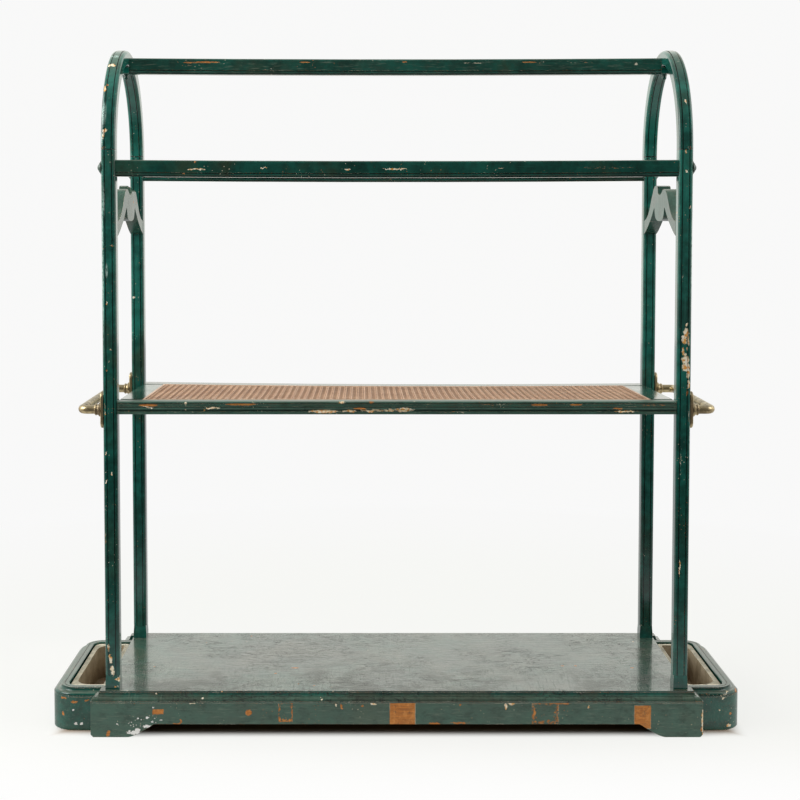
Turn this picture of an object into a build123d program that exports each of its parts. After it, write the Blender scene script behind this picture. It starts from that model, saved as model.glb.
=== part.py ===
from build123d import *
import math
import os

# Painted hall stand of an old hotel: luggage deck, caned shelf, hooped ends and two stick bays with lift-out pans.
# Millimetres. +Z up, +X along the stand, -Y its front. The origin is on the floor, under the middle.

os.makedirs("parts", exist_ok=True)

# ---- driving dimensions ----
post_w = 28.8          # post, along X
post_d = 30.4          # post, along Y, and the radial depth of the hoops
hoop_ro = 195.4        # outer radius of a hoop; its inner radius is hoop_ro - post_d
post_x = 572.1         # middle of the posts from the middle of the stand
spring_z = 1173.0      # height of the hoops' centre, where they stand on the posts
hoop_k = 1.0977        # the hoops rise a little higher than a half circle
joint_z = 1173.0
deck_top = 89.0
deck_t = 19.8          # deck board, and the height of its worked edge
edge_out = 15.8        # how far the worked edge stands out
deck_hx = 596.7        # upper edge of the deck's worked edge at the corners
deck_hy = 204.6
apron_t = 22.0
apron_low = 26.4       # underside of the apron between its feet
foot_w = 75.4
bay_x0 = 588.0         # end of the deck, where a stick bay starts
bay_x1 = 702.0         # outer face of a bay's wall
bay_hy = 182.0
bay_r = 50.0           # plan radius of a bay's outer corners
bay_wall = 20.0
bay_low = 1.0
rim_top = 84.0
rim_t = 15.4           # height of the rim's worked edge
rim_flat = 15.2        # flat on top of the rim
pan_gap = 2.5
pan_t = 1.4
rail_z0, rail_h = 1339.0, 33.0
mid_z0 = 1119.6
rail_d = 26.0
rail_sag = 2.4
shelf_top = 672.0
shelf_t = 26.0
shelf_front_w = 40.4
shelf_back_w = 55.0
shelf_end_w = 55.6
cane_lap = 10.0        # how far the cane lies over the frame
cane_t = 1.6
spline_w = 5.0
shelf_sag = 3.8        # sag of the back member
back_left, back_right = -4.0, -7.5     # how far its ends have settled
brass_z = 654.0
brass_r = 8.7
brass_out = 45.0       # middle of the brass bar from the posts
plate_t = 6.0

post_y = hoop_ro - post_d / 2
hoop_ri = hoop_ro - post_d
post_in = post_x - post_w / 2
post_out = post_x + post_w / 2
apron_y = deck_hy + edge_out
apron_x = deck_hx + edge_out
deck_low = deck_top - deck_t
SIDES = {"left": -1, "right": 1}
ENDS = {"front": -1, "back": 1}
made = []


def keep(part, label):
    """Names a finished piece and writes it."""
    part.label = label
    export_step(part, f"parts/{label}.step")
    made.append(label)


def bar_section(cx, cy):
    """Section of posts and hoops: a flat fillet between two quirked beads, on front and back."""
    hw, hd = post_w / 2, post_d / 2
    f, q, g, e, b = 6.0, 2.6, 1.7, 0.8, 5.4
    w = hw - f - g
    am = (f + g + w * math.sin(math.radians(45)), hd - b + (b - e) * math.cos(math.radians(45)))

    def at(x, y):
        return (cx + x, cy + y)

    with BuildSketch() as bar:
        with BuildLine():
            Polyline(at(f, -hd), at(f, -hd + q), at(f + g, -hd + q), at(f + g, -hd + e))
            ThreePointArc(at(f + g, -hd + e), at(am[0], -am[1]), at(hw, -hd + b))
            Line(at(hw, -hd + b), at(hw, hd - b))
            ThreePointArc(at(hw, hd - b), at(am[0], am[1]), at(f + g, hd - e))
            Polyline(at(f + g, hd - e), at(f + g, hd - q), at(f, hd - q), at(f, hd), at(-f, hd), at(-f, hd - q), at(-f - g, hd - q), at(-f - g, hd - e))
            ThreePointArc(at(-f - g, hd - e), at(-am[0], am[1]), at(-hw, hd - b))
            Line(at(-hw, hd - b), at(-hw, -hd + b))
            ThreePointArc(at(-hw, -hd + b), at(-am[0], -am[1]), at(-f - g, -hd + e))
            Polyline(at(-f - g, -hd + e), at(-f - g, -hd + q), at(-f, -hd + q), at(-f, -hd), at(f, -hd))
        make_face()
    return bar.sketch


def worked_edge(u, top, s, t):
    """Open line of a worked edge, from its upper edge at u out to u + edge_out: fillet, cove, ovolo, arris."""
    def at(a, b):
        return (s * (u + a), top - b * t)

    Polyline(at(0, 0), at(0, 0.15), at(1.0, 0.15))
    ThreePointArc(at(1.0, 0.15), at(2.7, 0.40), at(6.6, 0.49))
    Line(at(6.6, 0.49), at(8.2, 0.49))
    ThreePointArc(at(8.2, 0.49), at(12.4, 0.60), at(14.2, 0.84))
    Polyline(at(14.2, 0.84), at(edge_out, 0.84), at(edge_out, 1.0))


# ---- deck ----
with BuildPart() as deck_board:
    with BuildSketch(Plane.YZ) as across:
        with BuildLine():
            worked_edge(deck_hy, deck_top, 1, deck_t)
            Line((apron_y, deck_low), (-apron_y, deck_low))
            worked_edge(deck_hy, deck_top, -1, deck_t)
            Line((-deck_hy, deck_top), (deck_hy, deck_top))
        make_face()
    extrude(amount=apron_x, both=True)
    with BuildSketch(Plane.XZ) as along:
        with BuildLine():
            worked_edge(deck_hx, deck_top, 1, deck_t)
            Line((apron_x, deck_low), (-apron_x, deck_low))
            worked_edge(deck_hx, deck_top, -1, deck_t)
            Line((-deck_hx, deck_top), (deck_hx, deck_top))
        make_face()
    extrude(amount=apron_y, both=True, mode=Mode.INTERSECT)
    with BuildSketch(Plane.XY.offset(deck_low)):
        for s in (-1, 1):
            with Locations((s * (bay_x0 + 50), 0)):
                Rectangle(100, 2 * bay_hy)
        with Locations(*[(sx * post_x, sy * post_y) for sx in (-1, 1) for sy in (-1, 1)]):
            Rectangle(18.4, 18.4)
    extrude(amount=deck_t, mode=Mode.SUBTRACT)
keep(deck_board.part, "deck_board")

# ---- aprons with their bracket feet ----
for end, sy in ENDS.items():
    face = sy * apron_y
    with BuildPart() as apron:
        with BuildSketch(Plane.XZ.offset(-face)) as front:
            with BuildLine():
                for s in (-1, 1):
                    xo, xi = s * apron_x, apron_x - foot_w
                    Polyline((0, deck_low), (xo, deck_low), (xo, 5.0), (s * (apron_x - 5.0), 0.0), (s * xi, 0.0))
                    ThreePointArc((s * xi, 0.0), (s * (xi - 11.0), 3.2), (s * (xi - 23.0), 9.4))
                    ThreePointArc((s * (xi - 23.0), 9.4), (s * (xi - 38.0), 18.2), (s * (xi - 51.0), apron_low))
                    Line((s * (xi - 51.0), apron_low), (0, apron_low))
            make_face()
        extrude(amount=sy * apron_t)
    keep(apron.part, f"base_{end}_apron")

# ---- blocks that finish the feet at the ends of the aprons ----
with BuildPart() as foot_return_blocks:
    with BuildSketch(Plane.XY):
        for sx in (-1, 1):
            for sy in (-1, 1):
                with Locations((sx * (bay_x0 + apron_x) / 2, sy * (bay_hy + 0.2 + apron_y - apron_t) / 2)):
                    Rectangle(apron_x - bay_x0, apron_y - apron_t - bay_hy - 0.2)
    extrude(amount=deck_low)
keep(foot_return_blocks.part, "foot_return_blocks")

# ---- inside the base ----
with BuildPart() as post_socket_blocks:
    with BuildSketch(Plane.XY.offset(30.0)):
        for sx in (-1, 1):
            for sy in (-1, 1):
                with Locations((sx * (bay_x0 + 550.0) / 2, sy * (160.0 + apron_y - apron_t) / 2)):
                    Rectangle(bay_x0 - 550.0, apron_y - apron_t - 160.0)
        with Locations(*[(sx * post_x, sy * post_y) for sx in (-1, 1) for sy in (-1, 1)]):
            Rectangle(18.4, 18.4, mode=Mode.SUBTRACT)
    extrude(amount=deck_low - 30.0)
keep(post_socket_blocks.part, "post_socket_blocks")

for side, sx in SIDES.items():
    with BuildPart() as end_rail:
        with BuildSketch(Plane.XY.offset(bay_low)):
            with Locations((sx * (568.0 + bay_x0) / 2, 0)):
                Rectangle(bay_x0 - 568.0, 320.0)
        extrude(amount=deck_low - bay_low)
    keep(end_rail.part, f"base_end_rail_{side}")

with BuildPart() as deck_battens:
    with BuildSketch(Plane.XY.offset(deck_low - 18.0)):
        with Locations((-190, 0), (190, 0)):
            Rectangle(38.0, 2 * (apron_y - apron_t))
    extrude(amount=18.0)
keep(deck_battens.part, "deck_battens")

with BuildPart() as glue_blocks:
    for x in (-460.0, -330.0, -60.0, 60.0, 330.0, 460.0):
        with BuildSketch(Plane.YZ.offset(x - 30.0)):
            for sy in (-1, 1):
                y = sy * (apron_y - apron_t)
                with BuildLine():
                    Polyline((y, deck_low), (y, deck_low - 20.0), (y - sy * 20.0, deck_low), (y, deck_low))
                make_face()
        extrude(amount=60.0)
keep(glue_blocks.part, "glue_blocks")


# ---- stick bays: bent wall, moulded rim, floor and lift-out pan ----
def bay_outline(inset, x0=bay_x0):
    """Plan of a bay at a given inset from the wall's outer face, open line from the deck's end round to the deck's end."""
    r = bay_r - inset
    x1, hy = bay_x1 - inset, bay_hy - inset
    k = r * (1 - math.cos(math.radians(45)))
    Line((x0, -hy), (x1 - r, -hy))
    ThreePointArc((x1 - r, -hy), (x1 - k, -hy + k), (x1, -hy + r))
    Line((x1, -hy + r), (x1, hy - r))
    ThreePointArc((x1, hy - r), (x1 - k, hy - k), (x1 - r, hy))
    Line((x1 - r, hy), (x0, hy))


with BuildPart() as bay_wall_right:
    with BuildSketch(Plane.XY.offset(bay_low)):
        with BuildLine():
            bay_outline(0.0)
            Line((bay_x0, bay_hy), (bay_x0, bay_hy - bay_wall))
            bay_outline(bay_wall)
            Line((bay_x0, -bay_hy + bay_wall), (bay_x0, -bay_hy))
        make_face()
    extrude(amount=rim_top - rim_t - bay_low)
keep(bay_wall_right.part, "bay_wall_right")
with BuildPart() as bay_wall_left:
    add(mirror(bay_wall_right.part, about=Plane.YZ))
keep(bay_wall_left.part, "bay_wall_left")

with BuildPart() as bay_rim_right:
    with BuildLine(Plane.XY.offset(rim_top)) as rim_path:
        bay_outline(edge_out)
    with BuildSketch(Plane(origin=(bay_x0, -(bay_hy - edge_out), rim_top), x_dir=(0, -1, 0), z_dir=(-1, 0, 0))):
        with BuildLine():
            worked_edge(0.0, 0.0, 1, rim_t)
            Polyline((edge_out, -rim_t), (-rim_flat + 1.5, -rim_t), (-rim_flat, -rim_t + 1.5), (-rim_flat, -1.2), (-rim_flat + 1.2, 0))
            Polyline((-rim_flat + 1.2, 0), (-6.6, 0), (-6.6, -1.4), (-5.0, -1.4), (-5.0, 0), (0, 0))
        make_face()
    sweep(path=rim_path.wires()[0])
keep(bay_rim_right.part, "bay_rim_right")
with BuildPart() as bay_rim_left:
    add(mirror(bay_rim_right.part, about=Plane.YZ))
keep(bay_rim_left.part, "bay_rim_left")

with BuildPart() as bay_floor_right:
    with BuildSketch(Plane.XY.offset(bay_low)):
        with BuildLine():
            bay_outline(bay_wall + 0.2)
            Line((bay_x0, bay_hy - bay_wall - 0.2), (bay_x0, -bay_hy + bay_wall + 0.2))
        make_face()
    extrude(amount=8.0)
keep(bay_floor_right.part, "bay_floor_right")
with BuildPart() as bay_floor_left:
    add(mirror(bay_floor_right.part, about=Plane.YZ))
keep(bay_floor_left.part, "bay_floor_left")

rim_in = edge_out + rim_flat
pan_x0, pan_x1, pan_hy = bay_x0 + pan_gap, bay_x1 - rim_in - pan_gap, bay_hy - rim_in - pan_gap
pan_ro = bay_r - rim_in - pan_gap
pan_z0, pan_z1 = bay_low + 8.0, rim_top - 3.5
bead = 9.0             # flange round a pan
well_r = 33.4          # corners of a pan's well, on its outer side


def pan_plan(inset, outer, inner):
    """Rounded plan of a pan, with the corner radii of its outer side and of the side beside the deck."""
    with BuildSketch() as plan:
        with Locations(((pan_x0 + pan_x1) / 2, 0)):
            Rectangle(pan_x1 - pan_x0 - 2 * inset, 2 * (pan_hy - inset))
        fillet(plan.vertices().group_by(Axis.X)[-1], outer)
        fillet(plan.vertices().filter_by(lambda v: v.X < pan_x0 + inset + 0.1), inner)
    return plan.sketch


with BuildPart() as drip_pan_right:
    with BuildSketch(Plane.XY.offset(pan_z0)):
        add(pan_plan(bead, well_r, 7.4))
    extrude(amount=pan_z1 - pan_z0)
    with BuildSketch(Plane.XY.offset(pan_z1 - 3.4)):
        add(pan_plan(0.0, pan_ro, 9.0))
    extrude(amount=3.4)
    with BuildSketch(Plane.XY.offset(pan_z0 + pan_t)):
        add(pan_plan(bead + pan_t, well_r - pan_t, 6.0))
    extrude(amount=pan_z1, mode=Mode.SUBTRACT)
    rim_edges = drip_pan_right.part.faces().sort_by(Axis.Z)[-1].outer_wire().edges()
    fillet(rim_edges, 1.6)
    fillet(drip_pan_right.part.faces().sort_by(Axis.Z)[0].outer_wire().edges(), 3.0)
keep(drip_pan_right.part, "drip_pan_right")
with BuildPart() as drip_pan_left:
    add(mirror(drip_pan_right.part, about=Plane.YZ))
keep(drip_pan_left.part, "drip_pan_left")

# ---- posts ----
block_top, stop_top = 100.0, 117.0
mid_bolt_z = mid_z0 + 17.5
for side, sx in SIDES.items():
    for end, sy in ENDS.items():
        cx, cy = sx * post_x, sy * post_y
        with BuildPart() as post:
            with BuildSketch(Plane.XY.offset(stop_top)) as section:
                add(bar_section(cx, cy))
            extrude(amount=joint_z - stop_top)
            with BuildSketch(Plane.XY.offset(deck_top)):
                with Locations((cx, cy)):
                    Rectangle(post_w, post_d)
            extrude(amount=block_top - deck_top)
            # the beads run out on the square foot of the post
            with BuildSketch(Plane.XY.offset(block_top)):
                with Locations((cx, cy)):
                    Rectangle(post_w, post_d)
            with BuildSketch(Plane.XY.offset(stop_top)):
                with Locations((cx, cy)):
                    Rectangle(post_w - 2.2, post_d - 1.6)
            loft()
            with BuildSketch(Plane.XY.offset(deck_top)):
                with Locations((cx, cy)):
                    Rectangle(18.0, 18.0)
            extrude(amount=-(deck_top - 34.0))
            with Locations(Plane(origin=(cx, cy, joint_z), z_dir=(0, 0, 1))):
                Hole(radius=4.6, depth=26.0)
            # bolt of the middle rail, its head sunk behind the boss
            with Locations(Plane(origin=(sx * post_out, cy, mid_bolt_z), z_dir=(sx, 0, 0))):
                CounterBoreHole(radius=3.2, counter_bore_radius=7.0, counter_bore_depth=8.0)
            # stud of the brass rail and the shelf
            with Locations(Plane(origin=(sx * post_out, cy, brass_z), z_dir=(sx, 0, 0))):
                Hole(radius=4.2)
        keep(post.part, f"post_{end}_{side}")

# ---- hoops: two bent quarters each ----
crown_bolt_x = 566.0
soffit_z = spring_z + hoop_ri * hoop_k
crown_mid = spring_z + post_y * hoop_k
for side, sx in SIDES.items():
    for end, sy in ENDS.items():
        cx, cy = sx * post_x, sy * post_y
        with BuildPart() as bend:
            with BuildSketch(Plane.XY) as section:
                add(bar_section(cx, cy))
            revolve(axis=Axis((0, 0, 0), (sy, 0, 0)), revolution_arc=90)
            scale(by=(1, 1, hoop_k))
        with BuildPart() as quarter:
            with Locations((0, 0, spring_z + 0.3)):
                add(bend.part)
            with Locations(Plane(origin=(cx, cy, joint_z), z_dir=(0, 0, -1))):
                Hole(radius=4.6, depth=26.0)
            with Locations(Plane(origin=(sx * (post_x + 7.0), 0, crown_mid), z_dir=(0, -sy, 0))):
                Hole(radius=3.6, depth=20.5)
            with Locations(Plane(origin=(sx * crown_bolt_x, 0, soffit_z - 3.0), z_dir=(0, 0, -1))):
                Hole(radius=2.6, depth=24.0)
        keep(quarter.part, f"hoop_{end}_{side}")

with BuildPart() as hoop_dowels:
    with Locations(*[(sx * post_x, sy * post_y, joint_z) for sx in (-1, 1) for sy in (-1, 1)]):
        Cylinder(4.5, 48.0)
    with Locations(*[Location((sx * (post_x + 7.0), 0, crown_mid), (90, 0, 0)) for sx in (-1, 1)]):
        Cylinder(3.5, 38.0)
keep(hoop_dowels.part, "hoop_dowels")

# blocks under the crowns, which the top rail is stubbed into
block_z0 = rail_z0
with BuildPart() as crown_blocks:
    for sx in (-1, 1):
        with BuildSketch(Plane.XY.offset(block_z0)):
            with Locations((sx * post_x, 0)):
                Rectangle(post_w, 27.0)
        extrude(amount=soffit_z - 1.0 - block_z0)
        with Locations((sx * crown_bolt_x, 0, rail_z0 + 8.0)):
            Cylinder(2.6, 40.0, mode=Mode.SUBTRACT)
        with Locations(Plane(origin=(sx * post_in, 0, rail_z0 + 7.2), z_dir=(-sx, 0, 0))):
            Hole(radius=5.0, depth=5.6)
    chamfer(crown_blocks.part.faces().group_by(Axis.Z)[0].edges().filter_by(Axis.X), 1.6)
keep(crown_blocks.part, "crown_blocks")

with BuildPart() as crown_bolts:
    for sx in (-1, 1):
        with BuildSketch(Plane.XZ):
            with BuildLine():
                z = block_z0
                x = sx * crown_bolt_x
                Polyline((x, z + 34.0), (x + 2.5, z + 34.0), (x + 2.5, z), (x + 5.2, z - 0.3), (x + 5.2, z - 2.6), (x + 3.4, z - 3.4), (x + 3.4, z - 4.6), (x + 4.7, z - 5.6))
                ThreePointArc((x + 4.7, z - 5.6), (x + 4.1, z - 9.6), (x + 0.6, z - 12.0))
                Polyline((x + 0.6, z - 12.0), (x, z - 12.0), (x, z + 34.0))
            make_face()
        revolve(axis=Axis((sx * crown_bolt_x, 0, 0), (0, 0, 1)))
keep(crown_bolts.part, "crown_bolts")


# ---- rails ----
def rail_outline(cy, z0):
    """Section of a hand rail: flat sides under a softened top, with a quirked bead along each lower edge."""
    h, d = rail_h, rail_d / 2
    with BuildSketch() as outline:
        with BuildLine():
            for s in (-1, 1):
                Line((cy, z0 + h), (cy + s * (d - 4.0), z0 + h))
                ThreePointArc((cy + s * (d - 4.0), z0 + h), (cy + s * (d - 1.2), z0 + h - 1.2), (cy + s * d, z0 + h - 4.0))
                Polyline((cy + s * d, z0 + h - 4.0), (cy + s * d, z0 + 8.6), (cy + s * (d - 2.2), z0 + 8.6), (cy + s * (d - 2.2), z0 + 7.6))
                ThreePointArc((cy + s * (d - 2.2), z0 + 7.6), (cy + s * (d - 0.1), z0 + 5.3), (cy + s * (d - 2.2), z0 + 3.0))
                Polyline((cy + s * (d - 2.2), z0 + 3.0), (cy + s * (d - 3.6), z0 + 2.2), (cy + s * (d - 3.6), z0), (cy, z0))
        make_face()
    return outline.sketch


def rail_solid(cy, z0):
    """A rail between the posts, with its slight sag, trimmed square to the posts' inner faces."""
    with BuildPart() as rail:
        with BuildLine(Plane.XZ.offset(-cy)) as sag:
            ThreePointArc((-post_in - 8.0, z0), (0.0, z0 - rail_sag), (post_in + 8.0, z0))
        with BuildSketch(Plane(origin=(-post_in - 8.0, 0, 0), x_dir=(0, 1, 0), z_dir=(1, 0, 0))):
            add(rail_outline(cy, z0))
        sweep(path=sag.wires()[0], is_frenet=False)
        with Locations((0, cy, z0)):
            Box(2 * post_in, 120.0, 120.0, mode=Mode.INTERSECT)
    return rail.part


with BuildPart() as top_rail:
    add(rail_solid(0.0, rail_z0))
    for sx in (-1, 1):
        with Locations(Plane(origin=(sx * (post_in - 2.0), 0, rail_z0 + 7.2), z_dir=(sx, 0, 0))):
            Cylinder(4.9, 7.0, align=(Align.CENTER, Align.CENTER, Align.MIN))
keep(top_rail.part, "top_rail")

for end, sy in ENDS.items():
    with BuildPart() as mid_rail:
        add(rail_solid(sy * post_y, mid_z0))
        for sx in (-1, 1):
            with Locations(Plane(origin=(sx * post_in, sy * post_y, mid_bolt_z), z_dir=(sx, 0, 0))):
                Hole(radius=3.2, depth=52.0)
    keep(mid_rail.part, f"mid_rail_{end}")

with BuildPart() as rail_bolts:
    for sx in (-1, 1):
        for sy in (-1, 1):
            with Locations(Plane(origin=(sx * (post_in - 48.0), sy * post_y, mid_bolt_z), z_dir=(sx, 0, 0))):
                Cylinder(3.0, 48.0 + post_w - 8.0, align=(Align.CENTER, Align.CENTER, Align.MIN))
            with Locations(Plane(origin=(sx * (post_out - 8.0), sy * post_y, mid_bolt_z), z_dir=(sx, 0, 0))):
                Cylinder(6.6, 5.0, align=(Align.CENTER, Align.CENTER, Align.MIN))
keep(rail_bolts.part, "rail_bolts")

with BuildPart() as rail_bosses:
    for sx in (-1, 1):
        for y, z in ((-post_y, mid_bolt_z), (post_y, mid_bolt_z), (0.0, crown_mid)):
            with BuildSketch(Plane(origin=(sx * post_out, y, z), x_dir=(sx, 0, 0), z_dir=(0, -sx, 0))):
                with BuildLine():
                    Polyline((0, 0), (0, 14.2), (1.0, 14.2))
                    ThreePointArc((1.0, 14.2), (2.3, 12.6), (2.6, 10.8))
                    Polyline((2.6, 10.8), (3.4, 10.4))
                    ThreePointArc((3.4, 10.4), (5.0, 8.9), (5.4, 6.9))
                    Polyline((5.4, 6.9), (6.0, 6.4))
                    ThreePointArc((6.0, 6.4), (7.8, 4.2), (8.4, 0.6))
                    Polyline((8.4, 0.6), (8.4, 0), (0, 0))
                make_face()
            revolve(axis=Axis((sx * post_out, y, z), (1, 0, 0)))
keep(rail_bosses.part, "rail_bosses")

# ---- fretted end brackets between front and back posts ----
half_leg = [(165.0, 1031.0), (150.0, 1033.2), (134.0, 1038.0), (118.0, 1046.5), (104.0, 1058.0), (92.0, 1070.5), (80.0, 1082.5), (69.0, 1091.5)]
half_in = [(165.0, 1002.0), (150.0, 1006.5), (134.0, 1013.0), (116.0, 1021.5), (96.0, 1031.5), (80.0, 1041.5), (66.0, 1051.0), (57.0, 1057.5)]
for side, sx in SIDES.items():
    with BuildPart() as bracket:
        with BuildSketch(Plane.YZ.offset(sx * (post_in + 0.6))):
            with BuildLine():
                Spline(*[(-y, z) for y, z in half_leg])
                ThreePointArc((-69.0, 1091.5), (-46.0, 1097.5), (-24.0, 1091.0))
                ThreePointArc((-24.0, 1091.0), (-4.0, 1086.0), (14.0, 1089.5))
                Polyline((14.0, 1089.5), (20.0, 1104.0))
                ThreePointArc((20.0, 1104.0), (34.0, 1106.3), (48.0, 1104.5))
                ThreePointArc((48.0, 1104.5), (60.5, 1100.0), (69.0, 1091.5))
                Spline(*reversed(half_leg))
                Line((165.0, 1031.0), (165.0, 1002.0))
                Spline(*half_in)
                ThreePointArc((57.0, 1057.5), (52.5, 1058.3), (50.0, 1054.5))
                ThreePointArc((50.0, 1054.5), (44.0, 1042.0), (31.0, 1034.5))
                ThreePointArc((31.0, 1034.5), (0.0, 1030.8), (-31.0, 1034.5))
                ThreePointArc((-31.0, 1034.5), (-44.0, 1042.0), (-50.0, 1054.5))
                ThreePointArc((-50.0, 1054.5), (-52.5, 1058.3), (-57.0, 1057.5))
                Spline(*[(-y, z) for y, z in reversed(half_in)])
                Line((-165.0, 1002.0), (-165.0, 1031.0))
            make_face()
        extrude(amount=sx * (post_w - 1.2))
        if sx < 0:
            # the tall hump's inner corner is worn away on this side
            with BuildSketch(Plane.XZ.offset(-80.0)):
                with BuildLine():
                    Polyline((-post_in - 16.0, 1108.0), (-post_in, 1093.0), (-post_in + 4.0, 1108.0), (-post_in - 16.0, 1108.0))
                make_face()
            extrude(amount=80.0, mode=Mode.SUBTRACT)
    keep(bracket.part, f"end_bracket_{side}")

# ---- shelf frame ----
shelf_low = shelf_top - shelf_t
front_y0 = -hoop_ro
back_y1 = hoop_ro


spline_x = post_in - shelf_end_w + cane_lap


def back_dz(x):
    """How far the back member has settled at x."""
    return back_left + (back_right - back_left) * (x + post_in) / (2 * post_in) - shelf_sag * (1 - (x / post_in) ** 2)


def groove(s, y_edge, top):
    """Points of the rebate and the spline groove beside a caned opening, from the outer top edge inwards."""
    return [
        (y_edge - s * cane_lap, top), (y_edge - s * cane_lap, top - 6.0), (y_edge - s * (cane_lap - spline_w), top - 6.0),
        (y_edge - s * (cane_lap - spline_w), top - cane_t), (y_edge, top - cane_t),
    ]


with BuildPart() as shelf_front_member:
    inner = front_y0 + shelf_front_w
    with BuildSketch(Plane.YZ.offset(-post_in)):
        y, z = front_y0, shelf_top
        with BuildLine():
            Polyline(*groove(1, inner, z), (inner, shelf_low), (y + 1.5, shelf_low))
            ThreePointArc((y + 1.5, shelf_low), (y + 0.4, shelf_low + 0.5), (y, shelf_low + 1.6))
            Polyline((y, shelf_low + 1.6), (y, shelf_low + 5.6), (y + 2.4, shelf_low + 6.4), (y + 2.4, shelf_low + 8.4))
            ThreePointArc((y + 2.4, shelf_low + 8.4), (y + 0.1, shelf_low + 11.2), (y + 2.0, shelf_low + 14.0))
            Polyline((y + 2.0, shelf_low + 14.0), (y + 2.0, shelf_low + 15.4), (y + 0.8, shelf_low + 15.4), (y + 0.8, shelf_low + 20.6), (y + 2.2, shelf_low + 20.6), (y + 2.2, shelf_low + 22.2), (y + 0.3, shelf_low + 22.2))
            ThreePointArc((y + 0.3, shelf_low + 22.2), (y + 1.0, z - 1.1), (y + 3.6, z))
            Line((y + 3.6, z), (inner - cane_lap, z))
        make_face()
    extrude(amount=2 * post_in)
    for sx in (-1, 1):
        with Locations((sx * (spline_x - spline_w / 2), inner - cane_lap / 2, shelf_top - 6.0)):
            Box(spline_w, cane_lap, 12.0, align=(Align.CENTER, Align.CENTER, Align.MIN), mode=Mode.SUBTRACT)
        with Locations(Plane(origin=(sx * post_in, -post_y, brass_z), z_dir=(sx, 0, 0))):
            Hole(radius=4.2, depth=46.0)
keep(shelf_front_member.part, "shelf_front_member")

back_path = [(-post_in - 6.0, shelf_top + back_left), (0.0, shelf_top + (back_left + back_right) / 2 - shelf_sag), (post_in + 6.0, shelf_top + back_right)]
with BuildPart() as shelf_back_member:
    inner = back_y1 - shelf_back_w
    with BuildLine(Plane.XZ.offset(-back_y1)) as back_sag:
        ThreePointArc(*back_path)
    with BuildSketch(Plane(origin=(-post_in - 6.0, 0, 0), x_dir=(0, 1, 0), z_dir=(1, 0, 0))):
        z, zl = shelf_top + back_left, shelf_low + back_left
        with BuildLine():
            Polyline(*groove(-1, inner, z), (inner, zl), (back_y1 - 1.5, zl), (back_y1, zl + 1.5), (back_y1, z - 3.0), (back_y1 - 3.0, z), (inner + cane_lap, z))
        make_face()
    sweep(path=back_sag.wires()[0], is_frenet=False)
    with Locations((0, back_y1 - shelf_back_w / 2, shelf_top)):
        Box(2 * post_in, 100.0, 100.0, mode=Mode.INTERSECT)
    for sx in (-1, 1):
        with Locations((sx * (spline_x - spline_w / 2), inner + cane_lap / 2, shelf_top - 6.4 + back_dz(sx * spline_x))):
            Box(spline_w, cane_lap, 12.0, align=(Align.CENTER, Align.CENTER, Align.MIN), mode=Mode.SUBTRACT)
        with Locations(Plane(origin=(sx * post_in, post_y, brass_z), z_dir=(sx, 0, 0))):
            Hole(radius=4.2, depth=46.0)
keep(shelf_back_member.part, "shelf_back_member")


fy = front_y0 + shelf_front_w
by = back_y1 - shelf_back_w
for side, sx in SIDES.items():
    dz = back_dz(sx * (post_in - shelf_end_w / 2))
    xi = post_in - shelf_end_w
    cuts = [
        (shelf_top, shelf_low, xi, post_in, Mode.ADD),
        (shelf_top + 5.0, shelf_top - cane_t - 0.3, xi - 1.0, xi + cane_lap, Mode.SUBTRACT),
        (shelf_top + 5.0, shelf_top - 6.0, xi + cane_lap - spline_w, xi + cane_lap, Mode.SUBTRACT),
    ]
    with BuildPart() as end_member:
        for z_top, z_low, x_a, x_b, mode in cuts:
            with BuildSketch(Plane.YZ.offset(sx * x_a)):
                with BuildLine():
                    Polyline((fy, z_top), (by, z_top + dz), (by, z_low + dz), (fy, z_low), (fy, z_top))
                make_face()
            extrude(amount=sx * (x_b - x_a), mode=mode)
    keep(end_member.part, f"shelf_end_{side}")

# ---- caned panel and the reed that holds it ----
px = post_in - shelf_end_w + cane_lap - spline_w - 0.2
with BuildPart() as cane_panel:
    for x in (-px, -px / 2, 0.0, px / 2, px):
        dz = back_dz(x)
        y0, y1 = fy - cane_lap + spline_w + 0.2, by + cane_lap - spline_w - 0.2
        za = shelf_top - cane_t + 0.3
        with BuildSketch(Plane.YZ.offset(x)):
            with BuildLine():
                Polyline((y0, za), (y1, za + dz), (y1, za + dz + 1.3), (y0, za + 1.3), (y0, za))
            make_face()
    loft()
keep(cane_panel.part, "cane_panel")

with BuildPart() as cane_spline:
    xo = post_in - shelf_end_w + cane_lap
    y0, y1 = fy - cane_lap, by + cane_lap
    zt, zl = shelf_top + 0.7, shelf_top - 5.8
    g = 0.2
    with BuildSketch(Plane.YZ.offset(-xo + g)):
        with BuildLine():
            Polyline((y0 + g, zl), (y0 + spline_w - g, zl), (y0 + spline_w - g, zt - 1.0))
            ThreePointArc((y0 + spline_w - g, zt - 1.0), (y0 + spline_w / 2, zt), (y0 + g, zt - 1.0))
            Line((y0 + g, zt - 1.0), (y0 + g, zl))
        make_face()
    extrude(amount=2 * (xo - g))
    for sx in (-1, 1):
        slope = back_dz(sx * (post_in - shelf_end_w / 2)) / (by - fy)
        ya, yb = y0 + spline_w, y1 - spline_w
        da, db = slope * (ya - fy), slope * (yb - fy)
        with BuildSketch(Plane.YZ.offset(sx * (xo - spline_w + g))):
            with BuildLine():
                Polyline((ya, zl + 0.2 + da), (yb, zl + 0.2 + db), (yb, zt - 0.2 + db), (ya, zt - 0.2 + da), (ya, zl + 0.2 + da))
            make_face()
        extrude(amount=sx * (spline_w - 2 * g))
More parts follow.
